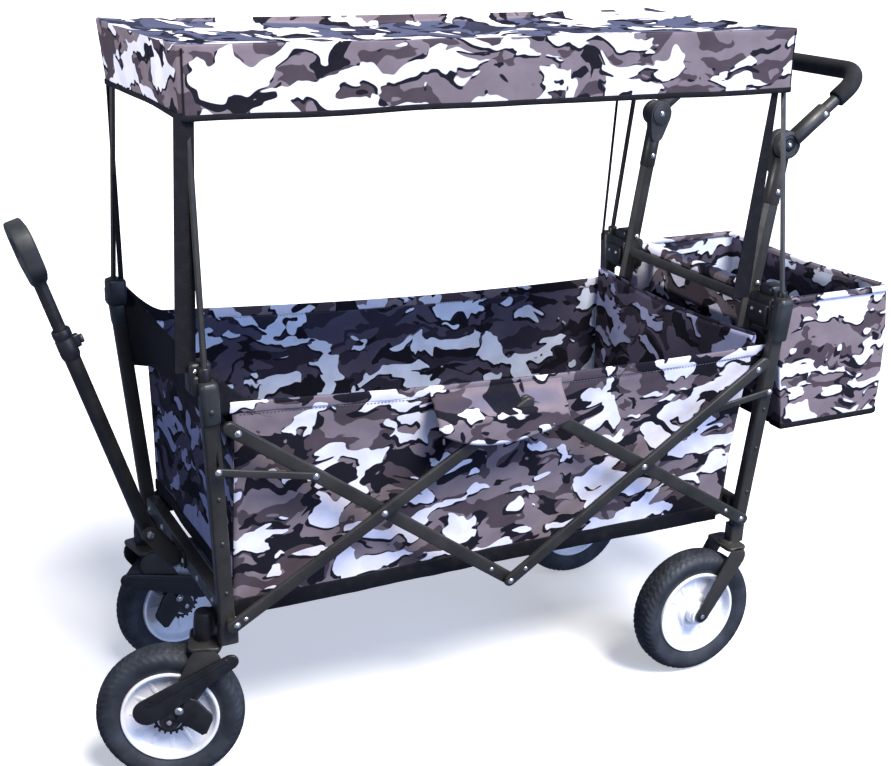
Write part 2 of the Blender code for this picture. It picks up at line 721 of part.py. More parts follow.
def push_handle():
    """A loop of tube with a knuckle disc and a neck at each end, and a foam grip around its middle."""
    frame = at((KNUCKLE.x, 0.0, KNUCKLE.z))
    bend = 0.040
    corners = [Vector(point) for point in on_knuckle(loop_corners())]
    arm = (corners[1] - corners[0]).normalized()
    starts = [corners[0] + arm * NECK, corners[1], corners[2], corners[3] + arm * NECK]
    loop = tube("push_handle_loop", bent_path(starts, bend), LOOP_TUBE_R, frame, powder_coat())
    upright = Matrix.Rotation(math.radians(90.0), 4, "X")
    for side, sign in SIDES.items():
        middle = sign * (KNUCKLE.y + KNUCKLE_SHIFT + GAP + KNUCKLE_HALF / 2)
        disc_frame = frame @ Matrix.Translation((0.0, middle, 0.0)) @ upright
        outline = knuckle_outline(arm, HANDLE_TUBE_R)
        disc = plate(f"knuckle_disc_{side}", [outline], KNUCKLE_HALF, disc_frame, None)
        out_turn = Matrix.Rotation(-sign * math.radians(90.0), 4, "X")
        button_frame = frame @ Matrix.Translation((0.0, middle, 0.0)) @ out_turn
        seat = cylinder(f"push_button_seat_{side}", 0.0094, 0.008, button_frame, None, -0.0005, 16)
        cut(joined(loop, disc), seat)
        cylinder(f"knuckle_button_{side}", 0.0088, 0.0055, button_frame, black_plastic(), 0.0030, 16)
    start = corners[1] - arm * 0.062
    finish = corners[2] - arm * 0.062
    grip = tube("push_handle_grip", bent_path([start, corners[1], corners[2], finish], bend),
                FOAM_BORE, frame, material("black foam", (0.018, 0.018, 0.020), 0.95, 0.0),
                caps=False)
    wall = grip.modifiers.new("foam thickness", "SOLIDIFY")
    wall.thickness = FOAM_THICK
    wall.offset = 1.0
    return loop


# --- the wagon ------------------------------------------------------------------------------------
def build():
    for end in ("front", "rear"):
        cross_tube(end)
        canopy_hoop(end)
        end_panel(end)
        for side in SIDES:
            post(end, side)
    for side in SIDES:
        front_corner(side)
        rear_corner(side)
        handle_tube(side)
        linkage(side)
        side_panel(side)
        front_wheel(side)
        rear_wheel(side)
    basket_bar()
    tub_floor()
    canopy_cover()
    rear_basket()
    pull_yoke()
    pull_handle()
    push_handle()


build()
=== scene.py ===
"""Looks of the folding wagon: printed cloth, coated steel, plastic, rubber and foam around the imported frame.

Lengths are in metres. X runs to the rear, Y to the right and Z up. Places are worked out from the middle of
the side linkage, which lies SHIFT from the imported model's origin, and every mesh is moved by SHIFT.
"""

import json
import math

import bmesh
import bpy
from mathutils import Matrix, Vector, noise


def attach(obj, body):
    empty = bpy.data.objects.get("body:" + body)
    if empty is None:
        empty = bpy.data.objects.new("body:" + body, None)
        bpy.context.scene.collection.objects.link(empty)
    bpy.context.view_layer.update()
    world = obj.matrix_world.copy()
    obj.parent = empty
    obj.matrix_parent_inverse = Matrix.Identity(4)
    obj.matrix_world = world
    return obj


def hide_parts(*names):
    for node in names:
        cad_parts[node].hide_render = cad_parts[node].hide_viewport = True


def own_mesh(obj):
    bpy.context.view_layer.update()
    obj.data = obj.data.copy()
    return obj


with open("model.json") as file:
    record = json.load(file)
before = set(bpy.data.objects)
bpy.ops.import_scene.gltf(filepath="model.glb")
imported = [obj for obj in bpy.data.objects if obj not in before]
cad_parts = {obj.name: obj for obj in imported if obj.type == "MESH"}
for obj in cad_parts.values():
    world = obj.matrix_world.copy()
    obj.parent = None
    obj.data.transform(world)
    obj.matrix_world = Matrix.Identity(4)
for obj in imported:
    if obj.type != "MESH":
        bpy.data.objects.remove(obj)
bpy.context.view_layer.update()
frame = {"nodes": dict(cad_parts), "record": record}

# --- dimensions, the same as the solids' ----------------------------------------------------------
SHIFT = Matrix.Translation((-0.02135, 0.0, 0.0))
QUARTER = math.radians(90.0)
SIDES = {"left": -1.0, "right": 1.0}
ENDS = {"front": -1.0, "rear": 1.0}
UP = Vector((0.0, 0.0, 1.0))

# The side planes lean outward. A place in one is given by x, by the way up it from the posts' feet, and by
# the way outward from it.
SIDE_LEAN = math.radians(6.56)
FOOT_Z, FOOT_Y = 0.220, 0.190
POST_FOOT_X, POST_FULL = 0.409, 0.3675              # POST_FULL is the way up to POST_TOP_X
POST_TOP_X = {"front": -0.436, "rear": 0.420}
POST_LOW = {"front": -0.004, "rear": -0.012}
POST_HIGH, POST_WIDTH, POST_DEPTH = 0.330, 0.021, 0.016
PIVOT_X, PIVOT_UP = 0.408, 0.030                    # lower ends of the rising bars
CROSS_X, CROSS_UP, LOW_MIDDLE_UP = 0.203, 0.1615, 0.013
RISE_END_X = {"front": 0.412, "rear": 0.390}        # upper ends of the falling bars
BAR_WIDTH, BAR_THICK, INNER_LAYER, OUTER_LAYER = 0.0185, 0.0070, 0.0121, 0.0197
STAYS = {"front": (0.2600, 0.3002, 0.0184), "rear": (0.2457, 0.2893, 0.0112)}    # way up, x on the bar, layer
STAY_WIDTH, STAY_THICK = 0.010, 0.004
WHEEL_R, RIM_R = 0.100, 0.066
CASTER_X, CASTER_Y, TRAIL = -0.430, 0.158, 0.050
HEADING = {"left": math.radians(160.0), "right": math.radians(12.0)}             # where each caster points
LEVER_TURN = {"left": 0.0, "right": math.radians(-12.0)}
REAR_WHEEL_X, REAR_WHEEL_Y, REAR_CROWN_X = 0.340, 0.186, 0.398
FORK_ARM_Y, FORK_ARM_THICK = 0.029, 0.003
CROWN_Z = {"front": 0.206, "rear": 0.2035}
PULL_PIVOT, PULL_LEAN = Vector((-0.463, 0.0, 0.305)), math.radians(18.05)
PULL_TUBE, PULL_COLLAR, PULL_GRIP = 0.318, 0.040, 0.388
KNUCKLE, LOOP_END = Vector((0.4545, 0.162, 0.8168)), Vector((0.584, 0.1703, 0.9145))
HANDLE_BEND = (0.4035, 0.490)                       # x and z where the handle's lower tube bends
PANEL_OUT, FLOOR_Z = -0.011, 0.286
TUB_X, TUB_RIM_BACK = (-0.3985, 0.3745), 0.0155     # the tub reaches further back at its rim
TUB_LOW_UP, TUB_SEAM = 0.0275, 0.026
CANOPY_X, CANOPY_Y = (-0.442, 0.437), 0.192
CANOPY_HEM_Z, CANOPY_TOP_Z, CANOPY_ROUND = 0.896, 0.9835, 0.004
BASKET_TOP_Z, BASKET_LOW_Z = 0.592, 0.388


# --- node trees -----------------------------------------------------------------------------------
class Look:
    """A material's node tree, with short ways to add nodes to it."""

    def __init__(self, name, colour, roughness, metallic=0.0):
        self.material = bpy.data.materials.new(name)
        self.material.use_nodes = True
        self.tree = self.material.node_tree
        self.shader = self.tree.nodes["Principled BSDF"]
        self.shader.inputs["Base Color"].default_value = (*colour, 1.0)
        self.shader.inputs["Roughness"].default_value = roughness
        self.shader.inputs["Metallic"].default_value = metallic

    def node(self, kind, settings=None, **inputs):
        """A new node. An input's name has underscores for spaces; its value is a number or a socket."""
        made = self.tree.nodes.new("ShaderNode" + kind)
        for key, value in (settings or {}).items():
            setattr(made, key, value)
        for key, value in inputs.items():
            self.put(made.inputs[key.replace("_", " ")], value)
        return made

    def put(self, socket, value):
        if hasattr(value, "is_output"):
            self.tree.links.new(value, socket)
        elif hasattr(value, "__len__") and len(value) == 3 and len(socket.default_value) == 4:
            socket.default_value = (*value, 1.0)
        else:
            socket.default_value = value

    def cloth_place(self):
        """Where a point is on the cloth it was cut from."""
        return self.node("Attribute", {"attribute_name": "rest_m"}).outputs["Vector"]

    def place(self):
        """Where a point is in the object."""
        return self.node("TexCoord").outputs["Object"]

    def noise(self, vector, scale, detail=2.0, roughness=0.5, distortion=0.0):
        return self.node("TexNoise", Vector=vector, Scale=scale, Detail=detail, Roughness=roughness,
                         Distortion=distortion).outputs["Fac"]

    def ramp(self, value, low, high, start=0.0, end=1.0):
        """Goes smoothly from start to end as the value goes from low to high."""
        return self.node("MapRange", {"interpolation_type": "SMOOTHSTEP"}, Value=value, From_Min=low,
                         From_Max=high, To_Min=start, To_Max=end).outputs["Result"]

    def mix(self, share, first, second, mode="MIX"):
        made = self.node("Mix", {"data_type": "RGBA", "blend_type": mode})
        self.put(made.inputs["Factor"], share)
        self.put(made.inputs[6], first)
        self.put(made.inputs[7], second)
        return made.outputs[2]

    def bump(self, height, distance, strength=1.0, under=None):
        made = self.node("Bump", Height=height, Distance=distance, Strength=strength)
        if under:
            self.put(made.inputs["Normal"], under)
        return made.outputs["Normal"]

    def weave(self, vector, period):
        """Height of a plain weave: two sets of threads, each period wide."""
        height = self.node("Math", {"operation": "ADD"})
        for socket, axis in zip(height.inputs, ("X", "Y")):
            threads = self.node("TexWave", {"bands_direction": axis}, Vector=vector,
                                Scale=1.0 / (period * math.pi))
            self.put(socket, threads.outputs["Fac"])
        return height.outputs[0]

    def wear(self, colour, roughness, normal=None):
        """Finishes the material: its colour, its roughness and its normal."""
        self.put(self.shader.inputs["Base Color"], colour)
        self.put(self.shader.inputs["Roughness"], roughness)
        if normal is not None:
            self.put(self.shader.inputs["Normal"], normal)
        return self.material


NIGHT_PRINT = (0.012, 0.011, 0.017)
OUTSIDE_TONES = ((0.225, 0.180, 0.196), (0.080, 0.060, 0.070), (0.84, 0.82, 0.91))
# Painted shade: darker, bluer copies of the tones, for the inner faces of the tub and the basket.
SHADE_TONES_INSIDE = ((0.090, 0.078, 0.115), (0.034, 0.029, 0.047), (0.83, 0.88, 1.00))
# Painted shade: darker, bluer copies of the tones, for the tub's end panels.
SHADE_TONES_END = ((0.110, 0.092, 0.130), (0.042, 0.034, 0.048), (0.42, 0.43, 0.62))
SKYLIGHT_TINT = (0.42, 0.58, 0.90)           # painted skylight: on faces that point up, the tones under the white shapes are tinted blue as though lit by the sky


def printed_cloth(name, tones, night, white):
    """Camouflage of four tones, its white shapes edged with the darkest one.

    Lower levels of night and white give more of the darkest tone and more of the white.
    """
    pale_tone, dark_tone, white_tone = tones
    look = Look(name, pale_tone, 0.85)
    place = look.cloth_place()

    def pushed(vector, scale, amount):
        """Bends the edges of the shapes."""
        source = look.node("TexNoise", Vector=vector, Scale=scale, Detail=0.0)
        shift = look.node("VectorMath", {"operation": "MULTIPLY_ADD"})
        look.put(shift.inputs[0], source.outputs["Color"])
        shift.inputs[1].default_value = (amount, amount * 0.8, amount)
        look.put(shift.inputs[2], vector)
        return shift.outputs[0]

    bent = pushed(pushed(place, 16.0, 0.050), 60.0, 0.014)

    def blobs(offset, scale, level):
        """One layer of shapes, twice as long along the wagon as high. A lower level gives more of them."""
        edge = 0.004
        vector = look.node("Mapping", Vector=bent, Scale=(1.0, 2.0, 1.0), Location=offset).outputs["Vector"]
        return look.ramp(look.noise(vector, scale, 1.6, 0.55, 0.25), level - edge, level + edge)

    colour = look.mix(blobs((3.1, 7.7, 0.0), 13.0, 0.50), pale_tone, dark_tone)
    colour = look.mix(blobs((11.3, 2.9, 0.0), 15.0, night), colour, NIGHT_PRINT)
    colour = look.mix(blobs((5.2, 17.1, 0.0), 17.0, 0.60), colour, pale_tone)
    # Painted skylight: faces that point up are tinted towards blue, as though lit by the sky.
    normal = look.node("SeparateXYZ", Vector=look.node("NewGeometry").outputs["Normal"])
    painted_skylight_share = look.ramp(normal.outputs["Z"], 0.55, 0.95)
    colour = look.mix(painted_skylight_share, colour, look.mix(1.0, colour, SKYLIGHT_TINT, "MULTIPLY"))
    colour = look.mix(blobs((41.003, 9.007, 0.0), 15.0, white - 0.010), colour, NIGHT_PRINT)    # dark edge
    colour = look.mix(blobs((41.0, 9.0, 0.0), 15.0, white), colour, white_tone)
    fade = look.ramp(look.noise(place, 30.0, 4.0), 0.3, 0.7, 0.88, 1.06)
    grey = look.node("CombineColor", Red=fade, Green=fade, Blue=fade).outputs["Color"]
    colour = look.mix(1.0, colour, grey, "MULTIPLY")
    threads = look.bump(look.weave(place, 0.0011), 0.00012, 0.35)
    soft = look.bump(look.noise(place, 22.0, 3.0, 0.55), 0.004, 0.25, threads)
    rough = look.ramp(look.noise(place, 140.0, 2.0), 0.3, 0.7, 0.78, 0.92)
    look.shader.inputs["Specular IOR Level"].default_value = 0.12
    return look.wear(colour, rough, soft)


def webbing():
    """Black woven band and binding, a little dusty."""
    look = Look("black webbing", (0.008, 0.008, 0.011), 0.85)
    look.shader.inputs["Specular IOR Level"].default_value = 0.2
    place = look.cloth_place()
    threads = look.weave(place, 0.0016)
    dust = look.ramp(look.noise(place, 60.0, 4.0), 0.45, 0.75)
    colour = look.mix(dust, (0.006, 0.006, 0.008), (0.014, 0.013, 0.016))
    return look.wear(colour, look.ramp(dust, 0.0, 1.0, 0.72, 0.9), look.bump(threads, 0.0002, 0.6))


def coated_steel():
    """Powder coat: dark warm grey with fine specks."""
    look = Look("coated steel", (0.022, 0.020, 0.017), 0.38, 0.1)
    place = look.place()
    patches = look.noise(place, 14.0, 3.0)
    specks = look.ramp(look.noise(place, 420.0, 2.0, 0.6), 0.66, 0.74)
    colour = look.mix(look.ramp(patches, 0.3, 0.7), (0.023, 0.0215, 0.019), (0.044, 0.041, 0.035))
    colour = look.mix(specks, colour, (0.070, 0.066, 0.058))
    rough = look.ramp(look.noise(place, 55.0, 4.0), 0.3, 0.7, 0.32, 0.48)
    grain = look.bump(look.noise(place, 1400.0, 1.0), 0.00015, 0.35)
    return look.wear(colour, rough, grain)


def moulded(name, low, high, roughness, grain_scale=900.0, depth=0.0002):
    """Plastic, rubber, foam or paint: two shades and a grain."""
    look = Look(name, low, roughness)
    place = look.place()
    colour = look.mix(look.ramp(look.noise(place, 35.0, 4.0), 0.35, 0.7), low, high)
    rough = look.ramp(look.noise(place, 90.0, 3.0), 0.3, 0.7, roughness - 0.07, roughness + 0.08)
    grain = look.bump(look.noise(place, grain_scale, 2.0), depth, 0.4)
    return look.wear(colour, rough, grain)


def bright_steel():
    """Zinc-plated rivets and bolts."""
    look = Look("bright steel", (0.62, 0.61, 0.60), 0.3, 0.9)
    place = look.place()
    smears = look.ramp(look.noise(place, 260.0, 3.0), 0.3, 0.7)
    colour = look.mix(smears, (0.50, 0.49, 0.48), (0.74, 0.73, 0.72))
    return look.wear(colour, look.ramp(smears, 0.0, 1.0, 0.22, 0.42))


CLOTH = printed_cloth("printed cloth", OUTSIDE_TONES, 0.59, 0.541)
TUB_CLOTH = printed_cloth("printed tub cloth", OUTSIDE_TONES, 0.545, 0.554)
# Painted shade: the print in darker, bluer tones, for inner faces.
SHADE_CLOTH_INSIDE = printed_cloth("printed cloth, painted shade inside", SHADE_TONES_INSIDE, 0.56, 0.552)
# Painted shade: the print in darker, bluer tones, for the end panels.
SHADE_CLOTH_END = printed_cloth("printed cloth, painted shade at ends", SHADE_TONES_END, 0.56, 0.554)
WEBBING, STEEL, RIVET = webbing(), coated_steel(), bright_steel()
CLOTHS = (CLOTH, TUB_CLOTH, SHADE_CLOTH_INSIDE, SHADE_CLOTH_END, WEBBING)
PLASTIC = moulded("black plastic", (0.007, 0.007, 0.008), (0.014, 0.014, 0.016), 0.42)
GREY_PLASTIC = moulded("grey plastic", (0.030, 0.031, 0.031), (0.048, 0.049, 0.048), 0.48)
CAP_PLASTIC = moulded("cap plastic", (0.020, 0.022, 0.022), (0.034, 0.036, 0.036), 0.45)
GRIP_PLASTIC = moulded("grip plastic", (0.017, 0.020, 0.020), (0.030, 0.033, 0.031), 0.60)
DARK_STEEL = moulded("dark steel", (0.009, 0.0085, 0.008), (0.018, 0.017, 0.015), 0.42)
THREAD = moulded("grey thread", (0.10, 0.09, 0.10), (0.17, 0.16, 0.18), 0.85)
RIM_LOOK = moulded("white plastic", (0.90, 0.90, 0.92), (0.82, 0.82, 0.85), 0.40, 700.0, 0.0001)
RUBBER = moulded("black rubber", (0.013, 0.015, 0.020), (0.030, 0.035, 0.045), 0.66, 500.0, 0.0004)
FOAM = moulded("black foam", (0.010, 0.010, 0.012), (0.018, 0.018, 0.020), 0.9, 1100.0, 0.0005)
dict.fromkeys((*CLOTHS, THREAD), "printed_cloth")
dict.fromkeys((STEEL, RIVET, DARK_STEEL), "powder_coat")
dict.fromkeys((PLASTIC, GREY_PLASTIC, CAP_PLASTIC, GRIP_PLASTIC), "black_plastic")


# --- pieces ---------------------------------------------------------------------------------------
def linked(name, data):
    """A new object in the scene."""
    made = bpy.data.objects.new(name, data)
    bpy.context.scene.collection.objects.link(made)
    return made


def finished(name, shape, look, body, replaced=(), smooth=40.0, thickness=0.0, offset=0.0, seed=0.0):
    """A mesh piece made of a bmesh, riding on a body. A smooth angle of 0 leaves it faceted.

    Thickness makes a wall of a sheet. The seed moves the place in the cloth that a piece was cut from.
    """
    if look in CLOTHS and not shape.verts.layers.float_vector.get("rest_m"):
        cloth_way = shape.verts.layers.float_vector.new("rest_m")
        for vert in shape.verts:
            vert[cloth_way] = rest_of(vert.co, seed)
    data = bpy.data.meshes.new(name)
    shape.transform(SHIFT)
    bmesh.ops.recalc_face_normals(shape, faces=shape.faces)
    shape.to_mesh(data)
    shape.free()
    data.materials.append(look)
    made = linked(name, data)
    if smooth:
        data.shade_smooth()
        data.set_sharp_from_angle(angle=math.radians(smooth))
    if thickness:
        wall = made.modifiers.new("thickness", "SOLIDIFY")
        wall.thickness = thickness
        wall.offset = offset
    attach(made, body)
    if replaced:
        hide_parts(*replaced)
    return made


def shaped(add, *values, **named):
    """A new bmesh with one shape in it."""
    shape = bmesh.new()
    add(shape, *values, **named)
    return shape


def at(x, y, z):
    return Matrix.Translation((x, y, z))


def basis(x_axis, y_axis, z_axis):
    return Matrix((x_axis, y_axis, z_axis)).transposed().to_4x4()


def up_at(z):
    """Way up a side plane at a height."""
    return (z - FOOT_Z) / math.cos(SIDE_LEAN)


def facing(spot, way):
    """A frame at a spot with its local Z along a direction and its local X level."""
    z_axis = Vector(way).normalized()
    x_axis = UP.cross(z_axis).normalized()
    return Matrix.Translation(spot) @ basis(x_axis, z_axis.cross(x_axis), z_axis)


def side_axes(side):
    """Up the leaning side plane, and outward from it."""
    sign = SIDES[side]
    up = Vector((0.0, sign * math.sin(SIDE_LEAN), math.cos(SIDE_LEAN)))
    out = Vector((0.0, sign * math.cos(SIDE_LEAN), -math.sin(SIDE_LEAN)))
    return up, out


def side_point(side, x, up_way, out_way=0.0):
    """A point by its x, its way up the side plane from the posts' feet, and its way outward."""
    up, out = side_axes(side)
    return Vector((x, SIDES[side] * FOOT_Y, FOOT_Z)) + up * up_way + out * out_way


def side_frame(side, x, up_way, out_way):
    """Local X is the wagon's X, local Y is up the side plane, local Z is outward on the right side."""
    up = side_axes(side)[0]
    x_axis = Vector((1.0, 0.0, 0.0))
    return Matrix.Translation(side_point(side, x, up_way, out_way)) @ basis(x_axis, up, x_axis.cross(up))


def outward_frame(side, x, up_way, out_way):
    """Local Z points outward from the side plane."""
    return facing(side_point(side, x, up_way, out_way), side_axes(side)[1])


def post_x(end, up_way):
    """Where a post's middle line is at a way up the side plane."""
    foot = ENDS[end] * POST_FOOT_X
    return foot + (POST_TOP_X[end] - foot) * up_way / POST_FULL


# --- shape helpers: each adds to the bmesh it is given --------------------------------------------
def join_rings(shape, rings, closed=False):
    """Faces between rings with the same count of points. A closed run joins the last to the first."""
    pairs = list(zip(rings, rings[1:]))
    if closed:
        pairs.append((rings[-1], rings[0]))
    for first, second in pairs:
        for step in range(len(first)):
            after = (step + 1) % len(first)
            shape.faces.new((first[step], first[after], second[after], second[step]))


def round_edges(shape, edges, bevel, segments):
    bmesh.ops.bevel(shape, geom=edges, offset=bevel, segments=segments, profile=0.5, affect="EDGES",
                    clamp_overlap=True)


def add_box(shape, size, matrix, bevel, segments=2):
    """A box with rounded edges, its middle at the matrix's origin."""
    verts = bmesh.ops.create_cube(shape, size=1.0, matrix=matrix @ Matrix.Diagonal((*size, 1.0)))["verts"]
    round_edges(shape, list({edge for vert in verts for edge in vert.link_edges}), bevel, segments)


def add_lathe(shape, profile, matrix, steps=24, closed=False):
    """Turns (radius, height) points about local Z. An open profile must start and end on the axis."""
    rings = []
    for radius, height in profile:
        if radius < 1e-7:
            rings.append([shape.verts.new(matrix @ Vector((0.0, 0.0, height)))])
            continue
        ring = []
        for step in range(steps):
            angle = math.tau * step / steps
            spot = Vector((radius * math.cos(angle), radius * math.sin(angle), height))
            ring.append(shape.verts.new(matrix @ spot))
        rings.append(ring)
    pairs = list(zip(rings, rings[1:]))
    if closed:
        pairs.append((rings[-1], rings[0]))
    for first, second in pairs:
        for step in range(steps):
            after = (step + 1) % steps
            if len(first) == 1:
                shape.faces.new((first[0], second[step], second[after]))
            elif len(second) == 1:
                shape.faces.new((first[step], second[0], first[after]))
            else:
                shape.faces.new((first[step], second[step], second[after], first[after]))


def add_disc(shape, radius, low, high, matrix, round_edge=0.0006, steps=24):
    """A disc about local Z from low to high, with rounded edges."""
    edge = min(round_edge, (high - low) / 2.2)
    profile = [
        (0.0, low), (radius - edge, low), (radius - 0.3 * edge, low + 0.3 * edge), (radius, low + edge),
        (radius, high - edge), (radius - 0.3 * edge, high - 0.3 * edge), (radius - edge, high),
        (0.0, high),
    ]
    add_lathe(shape, profile, matrix, steps)


def add_rivet(shape, matrix, radius=0.0042, height=0.0022):
    """Domed head on local Z, with a thin flange."""
    profile = [(0.0, -0.001), (radius * 1.15, -0.001), (radius * 1.15, 0.0003), (radius, 0.0006)]
    for step in range(1, 5):
        angle = QUARTER * step / 4
        profile.append((radius * math.cos(angle) if step < 4 else 0.0,
                        0.0006 + height * math.sin(angle)))
    add_lathe(shape, profile, matrix, 14)


def add_plate(shape, outline, thickness, matrix, bevel=0.0, segments=2):
    """A flat (x, y) outline given a thickness about local Z, with edges rounded by the bevel."""
    low, high = ([shape.verts.new(matrix @ Vector((x, y, z))) for x, y in outline]
                 for z in (-thickness / 2, thickness / 2))
    shape.faces.new(low)
    shape.faces.new(list(reversed(high)))
    join_rings(shape, [low, high])
    if bevel:
        rims = [shape.edges.get(pair) for ring in (low, high) for pair in zip(ring, ring[1:] + ring[:1])]
        round_edges(shape, rims, bevel, segments)


def add_sweep(shape, path, section, sideways=(0.0, 1.0, 0.0), closed=False, ends=None):
    """Carries a closed (across, sideways) section along a path. ends scales it near each end."""
    points = [Vector(point) for point in path]
    count = len(points)
    rings = []
    for index, point in enumerate(points):
        before = points[index - 1] if index or closed else points[0]
        after = points[(index + 1) % count] if index + 1 < count or closed else points[-1]
        way = (after - before).normalized()
        side = (Vector(sideways) - way * Vector(sideways).dot(way)).normalized()
        across = side.cross(way)
        grow = ends[index] if ends else 1.0
        rings.append([shape.verts.new(point + (across * a + side * b) * grow) for a, b in section])
    join_rings(shape, rings, closed)
    if not closed:
        shape.faces.new(list(reversed(rings[0])))
        shape.faces.new(rings[-1])


def circle(radius, steps):
    return [(radius * math.cos(math.tau * s / steps), radius * math.sin(math.tau * s / steps))
            for s in range(steps)]


def arc(centre, radius, start, end, steps):
    angles = [start + (end - start) * step / steps for step in range(steps + 1)]
    return [(centre[0] + radius * math.cos(a), centre[1] + radius * math.sin(a)) for a in angles]


def tapered(start, start_radius, end, end_radius, steps=10):
    """Outline of two circles and the lines that touch both."""
    run = Vector(end) - Vector(start)
    heading = math.atan2(run.y, run.x)
    opened = math.acos((start_radius - end_radius) / run.length)
    far = arc(end, end_radius, heading - opened, heading + opened, steps)
    near = arc(start, start_radius, heading + opened, heading + math.tau - opened, steps)
    return far + near


def rounded_box(width, height, radius, steps=4):
    points = []
    for quarter, (sx, sy) in enumerate(((1, 1), (-1, 1), (-1, -1), (1, -1))):
        corner = (sx * (width / 2 - radius), sy * (height / 2 - radius))
        points += arc(corner, radius, quarter * QUARTER, (quarter + 1) * QUARTER, steps)
    return points


def bent_path(corners, radius, steps):
    """A path through corners, each of them rounded to a radius."""
    path = [Vector(corners[0])]
    for before, corner, after in zip(corners, corners[1:], corners[2:]):
        back = (Vector(before) - Vector(corner)).normalized()
        ahead = (Vector(after) - Vector(corner)).normalized()
        half = back.angle(ahead) / 2
        centre = Vector(corner) + (back + ahead).normalized() * radius / math.sin(half)
        first = Vector(corner) + back * radius / math.tan(half) - centre
        last = Vector(corner) + ahead * radius / math.tan(half) - centre
        path += [centre + first.slerp(last, step / steps).normalized() * radius
                 for step in range(steps + 1)]
    path.append(Vector(corners[-1]))
    return path


STUD, BOLT = (0.0026, 0.0014), (0.0038, 0.0018)      # radius and height of two kinds of head


def rivets(name, body, spots, radius, height):
    """A piece of bright domed heads, one at each matrix."""
    heads = bmesh.new()
    for spot in spots:
        add_rivet(heads, spot, radius, height)
    finished(name, heads, RIVET, body, (), 50.0)


# --- cloth ----------------------------------------------------------------------------------------
def hump(share):
    """Rises from 0 to 1 halfway along and falls back to 0."""
    return math.sin(math.pi * share)


def wrinkle(u, v, seed, scale):
    """A smooth value from about -1 to 1 that runs along folds in the cloth."""
    return noise.noise(Vector((u * scale, v * scale, seed)))


def cloth_grid(name, columns, rows, place, seed, look, body, replaced=(), thickness=0.0014):
    """A sheet on a grid, each of its points at place(u, v)."""
    shape = bmesh.new()
    grid = [[shape.verts.new(place(column / columns, row / rows)) for column in range(columns + 1)]
            for row in range(rows + 1)]
    for low, high in zip(grid, grid[1:]):
        for column in range(columns):
            shape.faces.new((low[column], low[column + 1], high[column + 1], high[column]))
    return finished(name, shape, look, body, replaced, 60.0, thickness, 0.0, seed)


def painted_shade_inside(piece):
    """Gives the inner face of a sheet the print with painted shade: darker, bluer tones, as though the inside
    lay in shade.
    """
    piece.data.materials.append(SHADE_CLOTH_INSIDE)
    piece.modifiers["thickness"].material_offset = 1


def add_stitches(shape, points, outward):
    """A line of raised threads along a path, standing a little out of the cloth."""
    length, gap, width, height = 0.0032, 0.0018, 0.0007, 0.0005
    outline = ((0.0, 0.0), (length * 0.2, height), (length * 0.8, height), (length, 0.0))
    travelled, wanted = 0.0, gap
    for first, second in zip(points, points[1:]):
        span, way = (second - first).length, (second - first).normalized()
        turn = basis(way, outward, way.cross(outward).normalized())
        while wanted + length < travelled + span:
            spot = Matrix.Translation(first + way * (wanted - travelled))
            add_plate(shape, outline, width, spot @ turn)
            wanted += length + gap
        travelled += span


def rest_of(point, seed=0.0):
    """Place on the flat cloth: along the wagon, up, and across, moved by a seed."""
    return Vector((point.x + seed, point.z + 0.37 * seed, point.y - 0.61 * seed))


# --- tub ------------------------------------------------------------------------------------------
SIDE_SEEDS = {"left": 0.0, "right": 4.7}   # where each side was cut from the printed cloth


def rim_z(u):
    """Height of a side panel's rim, which hangs between the two corners."""
    return 0.5545 - 0.0245 * math.sin(math.pi * min(1.0, u * 0.82) * 0.62) - 0.004 * hump(u)


def side_cloth(side, u, v):
    """A point of a side panel: u from the front post to the rear one, v from the bottom to the rim."""
    high = up_at(rim_z(u))
    up_way = TUB_LOW_UP + (high - TUB_LOW_UP) * v
    rear = TUB_X[1] + TUB_RIM_BACK * v + 0.022 * max(0.0, (v - 0.84) / 0.16) ** 2
    front = TUB_X[0] - 0.006 * max(0.0, (v - 0.8) / 0.2) ** 2
    x = front * (1 - u) + rear * u
    held = hump(u) ** 0.5 * math.sin(math.pi * min(1.0, 0.08 + v)) ** 0.5
    billow = -0.006 * held
    folds = 0.0022 * wrinkle(u * 1.2, v * 0.55, 3.0 + SIDES[side], 7.0)
    folds += 0.0010 * wrinkle(u * 3.0, v, 9.0 + SIDES[side], 11.0)
    creases = 0.0016 * math.sin(u * 9.0 + v * 4.0) * (1.0 - v) ** 2
    edge = min(1.0, 12.0 * min(u, 1 - u))
    out = PANEL_OUT + billow + (folds + creases) * edge
    return side_point(side, x, up_way, out)


def fold_flat(piece):
    """Gives a piece that reaches along the tub a mesh of its own."""
    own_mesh(piece)


def tub_side(side):
    """A side panel with its bottom binding, its rolled rim and the stitching under the rim."""
    panel = cloth_grid(f"tub_side_cloth_{side}", 110, 40, lambda u, v: side_cloth(side, u, v),
                       SIDE_SEEDS[side], TUB_CLOTH, "front_frame", [f"tub_side_{side}"])
    # The inner face takes the print with painted shade.
    painted_shade_inside(panel)
    fold_flat(panel)
    up, out = side_axes(side)
    steps = 90
    edges = (("binding", WEBBING, 0.0, 0.009, rounded_box(0.0036, TUB_SEAM, 0.0016, 2)),
             ("rim", TUB_CLOTH, 1.0, -0.006, rounded_box(0.0040, 0.015, 0.0018, 3)))
    for name, look, height, way, section in edges:
        path = [side_cloth(side, step / steps, height) + up * way for step in range(steps + 1)]
        shape = shaped(add_sweep, path, section, up)
        fold_flat(finished(f"tub_{name}_{side}", shape, look, "front_frame", (), 50.0))
    thread = bmesh.new()
    for sign in (-1.0, 1.0):
        line = [side_cloth(side, 0.01 + 0.98 * s / 160, 0.950) + out * (sign * 0.0012) for s in range(161)]
        add_stitches(thread, line, out * sign)
    fold_flat(finished(f"tub_stitches_{side}", thread, THREAD, "front_frame", (), 0.0))


